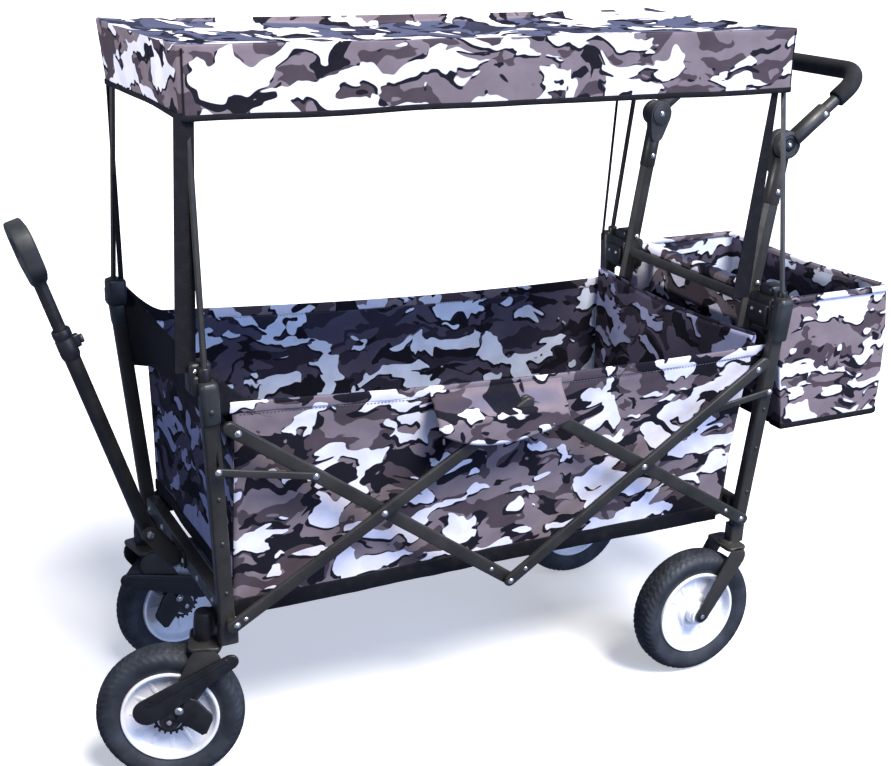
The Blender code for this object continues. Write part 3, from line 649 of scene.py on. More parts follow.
def tub_flap(side):
    """Cloth ear that covers the linkage's top pivot."""
    left, right = -0.134, 0.064

    def place(u, v):
        x = left + (right - left) * u
        low_z = 0.489 - 0.012 * u - 0.023 * math.sin(math.pi * u ** 0.8)
        z = low_z + (rim_z((x + 0.43) / 0.85) - 0.003 - low_z) * v
        free = 0.10 + 0.48 * hump(u) ** 0.6
        bridge = max(0.0, (v - free) / (1.0 - free))
        over = (1 - bridge * bridge * (3 - 2 * bridge))
        belly = 0.003 * hump(u) * (1 - v)
        lift = -0.006 + (0.0330 + belly) * over
        lift += 0.0010 * wrinkle(u, v, 21.0 + SIDES[side], 4.0)
        return side_point(side, x, up_at(z), lift)

    flap = cloth_grid(f"tub_flap_{side}", 36, 20, place, SIDE_SEEDS[side], TUB_CLOTH, "front_frame")
    fold_flat(flap)


def inner_half(z):
    """Half the tub's inner width at a height."""
    return side_point("right", 0.0, up_at(z), PANEL_OUT).y - 0.004


def end_cloth(end, u, v, lift=0.0, top=None):
    """A point of an end panel: u from left to right, v from the bottom to the top edge."""
    low = 0.292
    top = top or {"front": 0.562, "rear": 0.548}[end]
    sag = (0.006 if end == "front" else 0.010) * hump(u)
    z = low + (top - sag - low) * v
    half = min(inner_half(z), 0.215)
    y = -half + 2 * half * u
    pull = 0.010 * hump(u) * hump(v)
    folds = 0.0030 * wrinkle(u * 0.9, v * 0.6, 30.0 + ENDS[end], 5.0) * hump(u)
    folds += 0.0014 * math.sin(14.0 * u + 5.0 * v) * (1 - v)
    base = TUB_X[0] if end == "front" else TUB_X[1] + TUB_RIM_BACK * (z - FLOOR_Z) / 0.26
    return Vector((base + ENDS[end] * (folds + lift - pull), y, z))


def tub_end(end):
    """An end panel with the band along its top and the binding along its bottom."""
    body = f"{end}_frame"
    seed = 17.7 if end == "front" else 23.1
    # The end panel takes the print with painted shade.
    panel = cloth_grid(f"tub_{end}_cloth", 60, 36, lambda u, v: end_cloth(end, u, v), seed, SHADE_CLOTH_END, body,
                       [f"tub_{end}_panel"])
    top = 0.568 if end == "front" else 0.552
    depth = 0.066 if end == "front" else 0.016

    def band_place(u, v):
        spot = end_cloth(end, u, 1.0, 0.0030 + 0.002 * hump(v), top)
        spot.z += (v - 1.0) * depth
        if end == "front":
            corner = abs(2.0 * u - 1.0)
            spot.z += v * 0.034 * corner ** 9 - (1.0 - v) * 0.022 * corner ** 2
            spot.y *= 1.0 + 0.070 * corner ** 7
            spot.x -= 0.024 * corner ** 7
        return spot

    # The rear band takes the print with painted shade; the front band is black webbing.
    band = cloth_grid(f"tub_{end}_band", 50, 10, band_place, 0.0, WEBBING if end == "front" else SHADE_CLOTH_END,
                      body, (), 0.0020)
    path = [end_cloth(end, step / 40, 0.0) for step in range(41)]
    binding = shaped(add_sweep, path, rounded_box(0.006, 0.018, 0.002, 2), UP)
    finished(f"tub_{end}_binding", binding, WEBBING, body)


def corner_gusset(side):
    """Black cloth that runs down from a front corner block to the tub's rim."""
    length, ahead = 0.062, 0.027    # ahead of the tub's front panel

    def place(u, v):
        x = TUB_X[0] - ahead + length * u
        rim = rim_z(max(0.0, u * length - ahead) / (TUB_X[1] - TUB_X[0]))
        low, high = rim - 0.014, rim + 0.001 + 0.046 * (1.0 - u) ** 1.9
        out = PANEL_OUT - 0.003 + 0.010 * (1.0 - u) ** 3
        return side_point(side, x, up_at(low + (high - low) * v), out)

    gusset = cloth_grid(f"tub_gusset_{side}", 16, 8, place, 0.0, WEBBING, "front_frame")


def tub_floor():
    """Quilted mat over a stiff board."""
    half = inner_half(FLOOR_Z) - 0.002

    def place(u, v):
        x = TUB_X[0] + 0.004 + (TUB_X[1] - TUB_X[0] - 0.010) * u
        y = -half + 2 * half * v
        quilt = abs(math.sin(math.pi * 5 * u)) ** 0.4 * abs(math.sin(math.pi * 2 * v)) ** 0.4
        return Vector((x, y, FLOOR_Z + 0.004 * quilt + 0.001 * wrinkle(u, v, 41.0, 5.0)))

    mat = cloth_grid("tub_floor_mat", 110, 48, place, 29.0, WEBBING, "front_frame", ["tub_floor"], 0.0030)
    fold_flat(mat)


# --- canopy and basket ----------------------------------------------------------------------------
def ring_points(low_x, high_x, half_y, radius, count_x, count_y):
    """A rounded rectangle as (x, y, outward normal, way along its side) with even steps."""
    corner = 5
    points = []
    sides = (
        ((high_x, -half_y + radius), (high_x, half_y - radius), count_y, 0.0),
        ((high_x - radius, half_y), (low_x + radius, half_y), count_x, QUARTER),
        ((low_x, half_y - radius), (low_x, -half_y + radius), count_y, 2 * QUARTER),
        ((low_x + radius, -half_y), (high_x - radius, -half_y), count_x, 3 * QUARTER),
    )
    for start, finish, count, angle in sides:
        for step in range(count):
            t = step / (count - 1)
            spot = (start[0] + (finish[0] - start[0]) * t, start[1] + (finish[1] - start[1]) * t)
            points.append((spot[0], spot[1], Vector((math.cos(angle), math.sin(angle), 0.0)), t))
        centre = (finish[0] - radius * math.cos(angle), finish[1] - radius * math.sin(angle))
        for step in range(1, corner):
            turned = angle + QUARTER * step / corner
            normal = Vector((math.cos(turned), math.sin(turned), 0.0))
            points.append((centre[0] + radius * normal.x, centre[1] + radius * normal.y, normal, 0.0))
    return points


def loft(name, rings, centre, body, seed, replaced, thickness):
    """Printed cloth over closed rings of points, its last ring closed with a fan to a centre point."""
    shape = bmesh.new()
    made = [[shape.verts.new(spot) for spot in ring] for ring in rings]
    join_rings(shape, made)
    hub, last = shape.verts.new(centre), made[-1]
    for first, second in zip(last, last[1:] + last[:1]):
        shape.faces.new((first, second, hub))
    return finished(name, shape, CLOTH, body, replaced, 70.0, thickness, -1.0, seed)


def canopy_top(x, y):
    """Height of the roof: held up by the hoops, and hanging and puckering between them."""
    u = min(1.0, max(0.0, (x - CANOPY_X[0]) / (CANOPY_X[1] - CANOPY_X[0])))
    v = min(1.0, max(0.0, (y + CANOPY_Y) / (2 * CANOPY_Y)))
    dip = hump(u)
    sag = -0.0190 * dip ** 0.5 * hump(v) ** 0.8 - (0.002 + 0.013 * v * v) * dip
    sag -= 0.006 * hump(v) * (1.0 - dip)
    pucker = 0.0045 * wrinkle(u * 1.5, v * 0.8, 55.0, 6.0) * dip ** 0.4
    folds = 0.0020 * math.sin(34.0 * u + 3.0 * math.sin(6.0 * v)) * hump(v) * dip
    return CANOPY_TOP_Z + sag + pucker + folds


def canopy_wall(x, y, normal, t, down):
    """A point of the canopy's skirt, down from 0 at the roof's edge to 1 at the hem."""
    drop = CANOPY_TOP_Z - CANOPY_ROUND - CANOPY_HEM_Z
    bow = 0.0035 * hump(t) * (0.4 + down)
    folds = 0.0016 * wrinkle(x * 2.2 + y, down * 0.4, 61.0, 8.0) * hump(t) ** 0.5
    hem_wave = 0.0022 * wrinkle(x * 1.4, y * 1.4, 67.0, 6.0)
    flare = 0.0
    if abs(normal.x) > 0.9:
        flare = (1 - down) * (0.003 + 0.006 * (y + CANOPY_Y) / (2 * CANOPY_Y) if normal.x < 0 else 0.004)
    out = flare - bow + folds * down
    return Vector((x, y, CANOPY_HEM_Z + drop * (1 - down) + hem_wave * down)) + normal * out


def canopy():
    """The canopy's cloth, from hem to roof in closed rings, with its hem and corner seams."""
    outline = ring_points(*CANOPY_X, CANOPY_Y, 0.010, 90, 42)
    rings = []
    for row in range(15):
        rings.append([canopy_wall(x, y, normal, t, 1 - row / 14) for x, y, normal, t in outline])
    for step in range(1, 6):
        angle = QUARTER * step / 5
        ring = []
        for x, y, normal, t in outline:
            inset = CANOPY_ROUND * (1 - math.cos(angle))
            spot = canopy_wall(x, y, normal, t, 0.0) - normal * inset
            share = math.sin(angle)
            spot.z += CANOPY_ROUND * share + (canopy_top(spot.x, spot.y) - CANOPY_TOP_Z) * share ** 2
            ring.append(spot)
        rings.append(ring)
    middle = Vector(((CANOPY_X[0] + CANOPY_X[1]) / 2, 0.0, 0.0))
    edge = rings[-1]
    for step in range(1, 26):
        t = step / 26
        ring = []
        for spot in edge:
            reach = 1 - t
            place = Vector((middle.x + (spot.x - middle.x) * reach, spot.y * reach, 0.0))
            place.z = canopy_top(place.x, place.y)
            ring.append(place)
        rings.append(ring)
    middle.z = canopy_top(middle.x, middle.y)
    cloth = loft("canopy_cloth", rings, middle, "front_frame", 33.0, ["canopy_cover"], 0.0016)
    fold_flat_canopy(cloth)
    path = [canopy_wall(x, y, normal, t, 1.0) + normal * 0.0002 + UP * 0.002 for x, y, normal, t in outline]
    hem = shaped(add_sweep, path, rounded_box(0.0042, 0.0075, 0.0015, 2), UP, closed=True)
    fold_flat_canopy(finished("canopy_hem", hem, WEBBING, "front_frame"))
    seams, inset = bmesh.new(), 0.0028
    for x in (CANOPY_X[0] + inset, CANOPY_X[1] - inset):
        for y in (inset - CANOPY_Y, CANOPY_Y - inset):
            path = [Vector((x, y, CANOPY_HEM_Z + 0.004 + 0.078 * s / 8)) for s in range(9)]
            add_sweep(seams, path, circle(0.0013, 8), (1.0, 0.0, 0.0))
    fold_flat_canopy(finished("canopy_corner_seams", seams, WEBBING, "front_frame", (), 50.0))


def fold_flat_canopy(piece):
    """Gives a piece that reaches along the whole canopy a mesh of its own."""
    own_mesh(piece)


def basket_outline():
    """The basket's rim: its front corners reach forward past the handle's tubes."""
    low_x, high_x, half = 0.440, 0.658, 0.200
    corners = [(high_x, -half), (high_x, half), (low_x, half), (low_x, 0.178), (0.468, 0.170),
               (0.468, -0.170), (low_x, -0.178), (low_x, -half)]
    radii = [0.018, 0.018, 0.006, 0.004, 0.004, 0.004, 0.004, 0.006]
    points = []
    count = len(corners)
    for index, (corner, radius) in enumerate(zip(corners, radii)):
        here = Vector((*corner, 0.0))
        before = Vector((*corners[index - 1], 0.0))
        after = Vector((*corners[(index + 1) % count], 0.0))
        back, ahead = (before - here).normalized(), (after - here).normalized()
        for step in range(5):
            t = step / 4
            points.append(here + back * radius * (1 - t) ** 2 + ahead * radius * t ** 2)
        start = here + ahead * radius
        finish = after - ahead * radii[(index + 1) % count]
        steps = max(2, int((finish - start).length / 0.010))
        points += [start.lerp(finish, step / steps) for step in range(1, steps)]
    return points


def basket_point(flat, down):
    """Rim outline carried down: the front ears shrink back and the walls belly a little."""
    share = down ** 0.8
    x = flat.x
    front = max(0.0, (0.475 - x) / 0.035)
    x += front * 0.030 * share
    swell = 0.006 * hump(down)
    centre = Vector((0.555, 0.0, 0.0))
    out = Vector(((x - centre.x) / 0.11, flat.y / 0.20, 0.0))
    x += out.x * swell * 0.8 + 0.006 * down * max(0.0, out.x)
    y = flat.y + out.y * swell * 0.6
    sag = 0.007 * math.sin(math.pi * (flat.y + 0.2) / 0.4) * (1 - down)
    ruck = 0.0028 * wrinkle(flat.y * 4 + x * 3, down * 0.5, 71.0, 5.0)
    ruck *= math.sin(math.pi * min(1, down + 0.1))
    z = BASKET_TOP_Z - sag - (BASKET_TOP_Z - BASKET_LOW_Z) * down
    return Vector((x + ruck * (1 if out.x > 0.9 else 0), y + ruck * (1 if abs(out.y) > 0.9 else 0), z))


def basket():
    """Cloth basket with its rolled rim, its bottom binding, and the sleeve that hangs it on the bar."""
    outline = basket_outline()
    rings = [[basket_point(flat, row / 20) for flat in outline] for row in range(21)]
    bottom = rings[-1]
    centre = Vector((0.567, 0.0, 0.378))
    for step in range(1, 9):
        t = step / 9
        belly = 0.010 * math.sin(QUARTER * t)
        rings.append([Vector((centre.x + (p.x - centre.x) * (1 - t), p.y * (1 - t), p.z - belly))
                      for p in bottom])
    cloth = loft("basket_cloth", rings, centre, "rear_frame", 39.0, ["rear_basket"], 0.0022)
    # The inner face takes the print with painted shade.
    painted_shade_inside(cloth)
    edges = (("rim", CLOTH, 0.0, -0.002, rounded_box(0.0085, 0.010, 0.0036, 3), 60.0),
             ("binding", WEBBING, 1.0, 0.002, rounded_box(0.0050, 0.009, 0.0018, 2), 40.0))
    for name, look, down, lift, section, smooth in edges:
        path = [basket_point(flat, down) + UP * lift for flat in outline]
        edge = shaped(add_sweep, path, section, UP, closed=True)
        finished(f"basket_{name}", edge, look, "rear_frame", (), smooth)
    half, steps = 0.140, 40
    path = [Vector((0.4445, -half + 2 * half * s / steps, BASKET_TOP_Z)) for s in range(steps + 1)]
    grow = [1.0 + 0.05 * math.sin(s * 1.9) + 0.04 * math.sin(s * 0.7) for s in range(steps + 1)]
    sleeve = shaped(add_sweep, path, circle(0.0125, 20), UP, ends=grow)
    finished("basket_sleeve", sleeve, CLOTH, "rear_frame", (), 60.0)

    def bridge(u, v):
        z = 0.588 + 0.002 * math.sin(9 * u) * v - 0.004 * hump(v)
        return Vector((0.4560 + 0.0120 * v, -half + 2 * half * u, z))

    web = cloth_grid("basket_bridge", 40, 6, bridge, 49.0, CLOTH, "rear_frame", (), 0.0016)


# --- frame hardware -------------------------------------------------------------------------------
def falling(x):
    """Way up the side plane of the bars between the bottom middle and a post's upper end."""
    return LOW_MIDDLE_UP + abs(x) * (CROSS_UP - LOW_MIDDLE_UP) / CROSS_X


def rising(x):
    """Way up the side plane of the bars between a lower pivot and the top middle."""
    return PIVOT_UP + (PIVOT_X - abs(x)) * (CROSS_UP - PIVOT_UP) / (PIVOT_X - CROSS_X)


def post(end, side):
    """Rectangular post with three small rivets in its outer face and a sleeve round its foot."""
    low, high = POST_LOW[end], POST_HIGH
    out = side_axes(side)[1]
    start = side_point(side, post_x(end, low), low)
    finish = side_point(side, post_x(end, high), high)
    shape = shaped(add_sweep, [start, finish], rounded_box(POST_WIDTH, POST_DEPTH, 0.0035), out)
    for way in (0.075, 0.150, 0.215):
        add_rivet(shape, outward_frame(side, post_x(end, way) + 0.001, way, POST_DEPTH / 2), 0.0026, 0.0012)
    foot = [start - UP * 0.001, start.lerp(finish, 0.02) + UP * 0.020]
    add_sweep(shape, foot, rounded_box(POST_WIDTH + 0.004, POST_DEPTH + 0.004, 0.0045), out)
    finished(f"{end}_post_tube_{side}", shape, STEEL, f"{end}_frame", [f"{end}_post_{side}"])


def corner_cap(end, side, low, high, section, forward, outward, crown):
    """Moulded cap over a post's top: forward and outward move it off the post's middle line."""
    ways = (low, low + 0.003, high - 0.007, high - 0.002, high)
    path = [side_point(side, post_x(end, way) + forward, way, outward) for way in ways]
    return shaped(add_sweep, path, section, side_axes(side)[1], ends=[0.94, 1.0, 1.0, 0.88, crown])


def front_corner(side):
    """Cap over a front post, with the block inside it that holds the canopy's rod."""
    sign = SIDES[side]
    rivet_up = 0.339
    section = rounded_box(0.0235, 0.0215, 0.0062, 5)
    cap = corner_cap("front", side, 0.322, 0.3755, section, 0.0005, 0.001, 0.62)
    add_rivet(cap, outward_frame(side, post_x("front", rivet_up), rivet_up, 0.012), 0.0030, 0.0014)
    finished(f"front_corner_cap_{side}", cap, CAP_PLASTIC, "front_frame", [f"front_corner_{side}"], 50.0)
    block = shaped(add_box, (0.028, 0.026, 0.040), at(-0.440, sign * 0.2085, 0.593), 0.005, 3)
    add_box(block, (0.018, 0.020, 0.026), at(-0.444, sign * 0.219, 0.586), 0.004)
    add_disc(block, 0.0078, -0.008, 0.012, at(-0.4378, sign * 0.2285, 0.598), 0.002)
    finished(f"front_corner_block_{side}", block, PLASTIC, "front_frame", (), 45.0)
    rivets(f"front_corner_studs_{side}", "front_frame",
           [facing((x, sign * 0.2215, z), (0.0, sign, 0.0)) for x, z in ((-0.447, 0.603), (-0.433, 0.584))],
           *STUD)


def rear_corner(side):
    """Block that clamps a rear post to the push handle's tube, with a cap on the post's outer side."""
    sign = SIDES[side]
    inner, outer, mid = 0.1695, 0.222, 0.196
    centre = at(0.431, sign * (inner + outer) / 2, 0.5790)
    block = shaped(add_box, (0.040, outer - inner, 0.050), centre, 0.006, 3)
    add_box(block, (0.030, 0.030, 0.018), at(0.433, sign * mid, 0.609), 0.005)
    add_box(block, (0.012, 0.044, 0.030), at(0.4115, sign * mid, 0.577), 0.003)
    add_disc(block, 0.0075, -0.010, 0.012, at(0.4242, sign * 0.2292, 0.604), 0.002)
    finished(f"rear_corner_block_{side}", block, PLASTIC, "rear_frame", [f"rear_corner_{side}"], 45.0)
    cap = corner_cap("rear", side, 0.326, 0.3900, rounded_box(0.027, 0.022, 0.0075, 5), 0.002, 0.002, 0.6)
    finished(f"rear_corner_cap_{side}", cap, CAP_PLASTIC, "rear_frame", (), 50.0)
    spots = [facing((x, sign * outer, z), (0.0, sign, 0.0))
             for x, z in ((0.417, 0.592), (0.445, 0.592), (0.445, 0.566))]
    spots += [facing((0.4055, sign * y, 0.581), (-1.0, 0.0, 0.0)) for y in (0.186, 0.206)]
    rivets(f"rear_corner_studs_{side}", "rear_frame", spots, *STUD)


def bar(name, side, start, end, layer, heads, width=BAR_WIDTH, thick=BAR_THICK):
    """One flat oval bar of the linkage, and its rivets, given by their x along the bar and their radius."""
    start, end = Vector(start), Vector(end)
    run = end - start
    body = f"{name}_{side}"
    outline = tapered((0.0, 0.0), width / 2, run, width / 2 - 0.00001, 8)
    shape = shaped(add_plate, outline, thick, side_frame(side, start.x, start.y, layer), thick * 0.36, 4)
    if name == "bar_front_foot":        # a spacer between this bar and its post
        add_disc(shape, 0.0070, POST_DEPTH / 2, layer, outward_frame(side, start.x, start.y, 0.0))
    finished(f"{name}_tube_{side}", shape, STEEL, body, [body], 55.0)
    domes = bmesh.new()
    for x, radius in heads:
        up_way = start.y + run.y * (x - start.x) / run.x
        add_rivet(domes, outward_frame(side, x, up_way, layer + thick / 2 - 0.0002), radius, radius / 2)
    finished(f"{name}_rivets_{side}", domes, RIVET, body, (), 50.0)


def linkage(side):
    """The four bars and the two stays of one side."""
    top, low = (0.0, rising(0.0)), (0.0, LOW_MIDDLE_UP)
    front_eye, rear_eye = ((ENDS[end] * x, falling(x)) for end, x in RISE_END_X.items())
    small, medium, large = 0.0030, 0.0040, 0.0042
    bar("bar_front_foot", side, (-PIVOT_X, PIVOT_UP), top, OUTER_LAYER,
        ((-0.4035, medium), (-CROSS_X, large), (-0.392, small)))
    bar("bar_front_high", side, front_eye, low, INNER_LAYER, ((-0.402, large), (-0.029, small)))
    bar("bar_rear_foot", side, (PIVOT_X, PIVOT_UP), top, INNER_LAYER, ((0.4035, medium), (0.371, small)))
    bar("bar_rear_high", side, rear_eye, low, OUTER_LAYER,
        ((0.380, large), (CROSS_X, large), (0.0, medium), (0.022, small)))
    for end, (way, bar_x, layer) in STAYS.items():
        pivot, tip = (post_x(end, way), way), (ENDS[end] * bar_x, falling(bar_x))
        bar(f"stay_{end}", side, pivot, tip, layer, ((pivot[0], medium), (tip[0], medium)),
            STAY_WIDTH, STAY_THICK)


def strap(end, side, low, high, low_width, high_width):
    """Flat webbing between two points, facing the side, its width along the wagon."""
    thick, steps = 0.0018, 24
    low, high = Vector(low), Vector(high)
    shape = bmesh.new()
    cloth_way = shape.verts.layers.float_vector.new("rest_m")
    rings = []
    for step in range(steps + 1):
        spot = low.lerp(high, step / steps)
        width = low_width + (high_width - low_width) * step / steps
        ring = []
        for across, sideways in rounded_box(width, thick, thick / 2.3, 2):
            vert = shape.verts.new(spot + Vector((across, sideways, 0.0)))
            vert[cloth_way] = Vector((across, (spot - low).length, sideways))
            ring.append(vert)
        rings.append(ring)
    join_rings(shape, rings)
    shape.faces.new(list(reversed(rings[0])))
    shape.faces.new(rings[-1])
    finished(f"canopy_strap_{end}_{side}", shape, WEBBING, f"{end}_frame")


def straps():
    """The webbing between the corners and the canopy's hem."""
    strap("front", "left", (-0.4560, -0.2105, 0.600), (-0.4385, -0.1865, 0.905), 0.026, 0.025)
    strap("front", "right", (-0.4300, 0.214, 0.598), (-0.4380, 0.190, 0.905), 0.008, 0.006)
    strap("rear", "left", (0.3800, -0.1900, 0.600), (0.4120, -0.1865, 0.905), 0.030, 0.011)
    strap("rear", "right", (0.3900, 0.2060, 0.600), (0.3950, 0.1865, 0.905), 0.005, 0.005)


# --- wheels ---------------------------------------------------------------------------------------
def wheel_frame(centre, heading):
    """Local X is the way the wheel rolls, local Y is up, local Z lies along its axle."""
    rolling = Vector((math.cos(heading), math.sin(heading), 0.0))
    return Matrix.Translation(centre) @ basis(rolling, UP, rolling.cross(UP))


def faced(frame_at, sign):
    """A wheel's frame with its local Z along the axle one way or the other."""
    return frame_at if sign > 0 else frame_at @ Matrix.Rotation(math.pi, 4, "X")


def tyre(name, frame_at, body, node):
    """A tyre with smooth side walls and small zigzag blocks right across its tread."""
    steps, groove = 232, 0.0017
    zigzag = (0, 0, 0, 0, 0, 0, 1, 2, 3, 2, 1, 0, 1, 2, 3)
    half = [
        (0.0665, 0.0150), (0.0720, 0.0188), (0.0780, 0.0212), (0.0835, 0.0222), (0.0868, 0.0221),
        (0.0900, 0.0213), (0.0922, 0.0199), (0.0942, 0.0180), (0.0958, 0.0157), (0.0970, 0.0132),
        (0.0979, 0.0106), (0.0985, 0.0079), (0.0989, 0.0052), (0.0991, 0.0026), (0.0992, 0.0),
    ]
    first_block, ridge_rows = 5, (9, 13)
    near = [(index, 1.0) for index in range(len(half))]
    far = [(index, -1.0) for index in range(len(half) - 2, -1, -1)]
    shape = bmesh.new()
    rings = []
    for index, sign in near + far:
        radius, height = half[index]
        ring = []
        for step in range(steps):
            across = (step + zigzag[index]) % 4 == 0
            around = index in ridge_rows and step % 2 == 0
            depth = groove if index >= first_block and (across or around) else 0.0
            angle = math.tau * (step + 0.5) / steps
            deep, wide = radius - depth, sign * height * (1.0 - 6.0 * depth)
            spot = Vector((deep * math.cos(angle), deep * math.sin(angle), wide))
            ring.append(shape.verts.new(frame_at @ spot))
        rings.append(ring)
    join_rings(shape, rings, closed=True)
    finished(name, shape, RUBBER, body, [node], 24.0)


def rim(name, frame_at, body, node):
    """A moulded rim: rolled lip, dished web with ribs, and a stepped hub."""
    hub = FORK_ARM_Y - FORK_ARM_THICK / 2 - 0.001
    half = [
        (RIM_R, 0.0165), (0.0650, 0.0178), (0.0628, 0.0180), (0.0612, 0.0170), (0.0600, 0.0145),
        (0.0578, 0.0082), (0.0550, 0.0060), (0.0400, 0.0048), (0.0290, 0.0058), (0.0265, 0.0090),
        (0.0240, 0.0105), (0.0178, 0.0110), (0.0174, 0.0205), (0.0166, 0.0215), (0.0150, 0.0215),
        (0.0140, hub), (0.0050, hub),
    ]
    profile = half + [(radius, -height) for radius, height in reversed(half)]
    finished(name, shaped(add_lathe, profile, frame_at, 72, closed=True), RIM_LOOK, body, [node])
    ribs, count = bmesh.new(), 12
    for sign in (-1.0, 1.0):
        for step in range(count):
            turn = Matrix.Rotation(math.tau * step / count, 4, "Z")
            spot = frame_at @ turn @ at(0.0430, 0.0, sign * 0.0046)
            add_box(ribs, (0.0280, 0.0060, 0.0030), spot, 0.0010)
    finished(f"{name}_ribs", ribs, RIM_LOOK, body)


def gear_ring(name, frame_at, body, sign):
    """Toothed brake ring round the hub, on its outer face."""
    teeth, inner, root, tip = 20, 0.0179, 0.0232, 0.0268
    low, high = 0.0110, 0.0172
    ring = [(inner, low), (inner, high), (root - 0.0006, high), (root, high - 0.0006), (root, low)]
    turn = faced(frame_at, sign)
    shape = shaped(add_lathe, ring, turn, 60, closed=True)
    for step in range(teeth):
        tooth = Matrix.Rotation(math.tau * step / teeth, 4, "Z")
        spot = turn @ tooth @ at((root + tip) / 2 - 0.0003, 0.0, (low + high) / 2)
        add_box(shape, (tip - root + 0.0006, 0.0030, 0.0056), spot, 0.0005, 1)
    finished(name, shape, PLASTIC, body, (), 30.0)


def axle_ends(name, frame_at, body):
    """A washer and a bolt's head on the outer face of each fork arm."""
    washers, bolts = bmesh.new(), bmesh.new()
    face = FORK_ARM_Y + FORK_ARM_THICK / 2
    for sign in (-1.0, 1.0):
        turn = faced(frame_at, sign)
        add_disc(washers, 0.0078, face - 0.0002, face + 0.0007, turn, 0.0003)
        add_disc(bolts, 0.0036, face + 0.0005, face + 0.0016, turn)
    finished(f"{name}_washers", washers, PLASTIC, body)
    finished(name, bolts, RIVET, body)


def fork(name, crown, axle, heading, crown_length, radii, body, node):
    """Stamped fork: a crown with rolled edges, two arms, and the axle between them."""
    frame_at = Matrix.Translation(crown) @ Matrix.Rotation(heading, 4, "Z")
    run = Matrix.Rotation(-heading, 3, "Z") @ (Vector(axle) - Vector(crown))
    width = 2 * FORK_ARM_Y + FORK_ARM_THICK
    shape = shaped(add_plate, rounded_box(crown_length, width, 0.008), 0.0060, frame_at, 0.0018, 3)
    add_disc(shape, 0.0130, 0.0, 0.0052, frame_at, 0.0012)
    upright = Matrix.Rotation(QUARTER, 4, "X")
    outline = tapered((run.x, run.z), radii[0], (0.0, 0.003 - radii[1]), radii[1])
    for sign in (-1.0, 1.0):
        spot = frame_at @ at(0.0, sign * FORK_ARM_Y, 0.0) @ upright
        add_plate(shape, outline, FORK_ARM_THICK, spot, 0.0009)
    finished(name, shape, STEEL, body, [node])
    spot, reach = frame_at @ Matrix.Translation(run) @ upright, FORK_ARM_Y + 0.002
    finished(f"{name}_axle", shaped(add_disc, 0.0040, -reach, reach, spot, 0.0003), RIVET, body)


def brake_lever(side, wheel, heading):
    """Pedal with a ridge, and the pawl under it, on the outer face of a front fork."""
    left = side == "left"
    forward = Vector((math.cos(heading), math.sin(heading), 0.0))
    pivot = wheel - forward * 0.014 + UP * 0.020
    layer = FORK_ARM_Y + FORK_ARM_THICK / 2 + 0.003
    spot = Matrix.Translation(pivot - forward.cross(UP) * (layer if left else -layer))
    spot = spot @ basis(-forward, UP, (-forward).cross(UP))
    spot = spot @ Matrix.Rotation(LEVER_TURN[side], 4, "Z")
    shape = shaped(add_plate, tapered((-0.043, -0.002), 0.0180, (0.071, 0.071), 0.0095), 0.0046, spot,
                   0.0016, 3)
    pawl = [(-0.006, -0.014), (0.012, 0.020), (0.024, 0.015), (0.0435, -0.0090), (0.0440, -0.0150),
            (0.0355, -0.0360), (0.0290, -0.0385), (0.008, -0.022)]
    add_plate(shape, pawl, 0.0044, spot, 0.0014, 3)
    ridge = spot @ at(0.0, 0.0, 0.0018 if left else -0.0018)
    add_plate(shape, tapered((-0.040, 0.010), 0.0024, (0.064, 0.073), 0.0024), 0.0034, ridge, 0.0012)
    finished(f"brake_pedal_{side}", shape, PLASTIC, f"brake_{side}", [f"brake_lever_{side}"], 45.0)
    rivets(f"brake_bolt_{side}", f"brake_{side}", [faced(spot, -SIDES[side]) @ at(0.0, 0.0, 0.0024)],
           0.0050, 0.0026)


def rolling_parts(end, side, frame_at):
    """Rim and tyre, which turn together."""
    for make, part in ((rim, "rim"), (tyre, "tyre")):
        make(f"{end}_{part}_shell_{side}", frame_at, f"{end}_wheel_{side}", f"{end}_{part}_{side}")


def front_wheel(side):
    """A caster: socket under the frame, swivelling fork, wheel with its gear ring, and brake."""
    heading, caster = HEADING[side], f"caster_{side}"
    stem = Vector((CASTER_X, SIDES[side] * CASTER_Y, 0.0))
    wheel = stem + UP * WHEEL_R + Vector((math.cos(heading), math.sin(heading), 0.0)) * TRAIL
    frame_at = wheel_frame(wheel, heading)
    fork(f"caster_fork_shell_{side}", stem + UP * CROWN_Z["front"], wheel, heading, 0.044, (0.013, 0.022),
         caster, f"caster_fork_{side}")
    axle_ends(f"caster_axle_ends_{side}", frame_at, caster)
    rolling_parts("front", side, frame_at)
    gear_ring(f"front_gear_{side}", frame_at, f"front_wheel_{side}", SIDES[side])
    brake_lever(side, wheel, heading)
    profile = [(0.0, 0.0), (0.0140, 0.0), (0.0155, 0.002), (0.0155, 0.020), (0.0140, 0.034),
               (0.0120, 0.0375), (0.0, 0.0375)]
    housing = shaped(add_lathe, profile, Matrix.Translation(stem + UP * 0.2115), 32)
    add_box(housing, (0.033, 0.022, 0.023), at((CASTER_X - 0.399) / 2, stem.y, 0.2375), 0.004, 3)
    finished(f"caster_socket_{side}", housing, PLASTIC, "front_frame", [f"caster_housing_{side}"], 45.0)


def rear_wheel(side):
    """A wheel in a fork that is fixed to the rear frame."""
    wheel = Vector((REAR_WHEEL_X, SIDES[side] * REAR_WHEEL_Y, WHEEL_R))
    crown = Vector((REAR_CROWN_X, wheel.y, CROWN_Z["rear"]))
    frame_at = wheel_frame(wheel, 0.0)
    fork(f"rear_fork_shell_{side}", crown, wheel, 0.0, 0.034, (0.0105, 0.0150), "rear_frame",
         f"rear_fork_{side}")
    axle_ends(f"rear_axle_ends_{side}", frame_at, "rear_frame")
    rolling_parts("rear", side, frame_at)


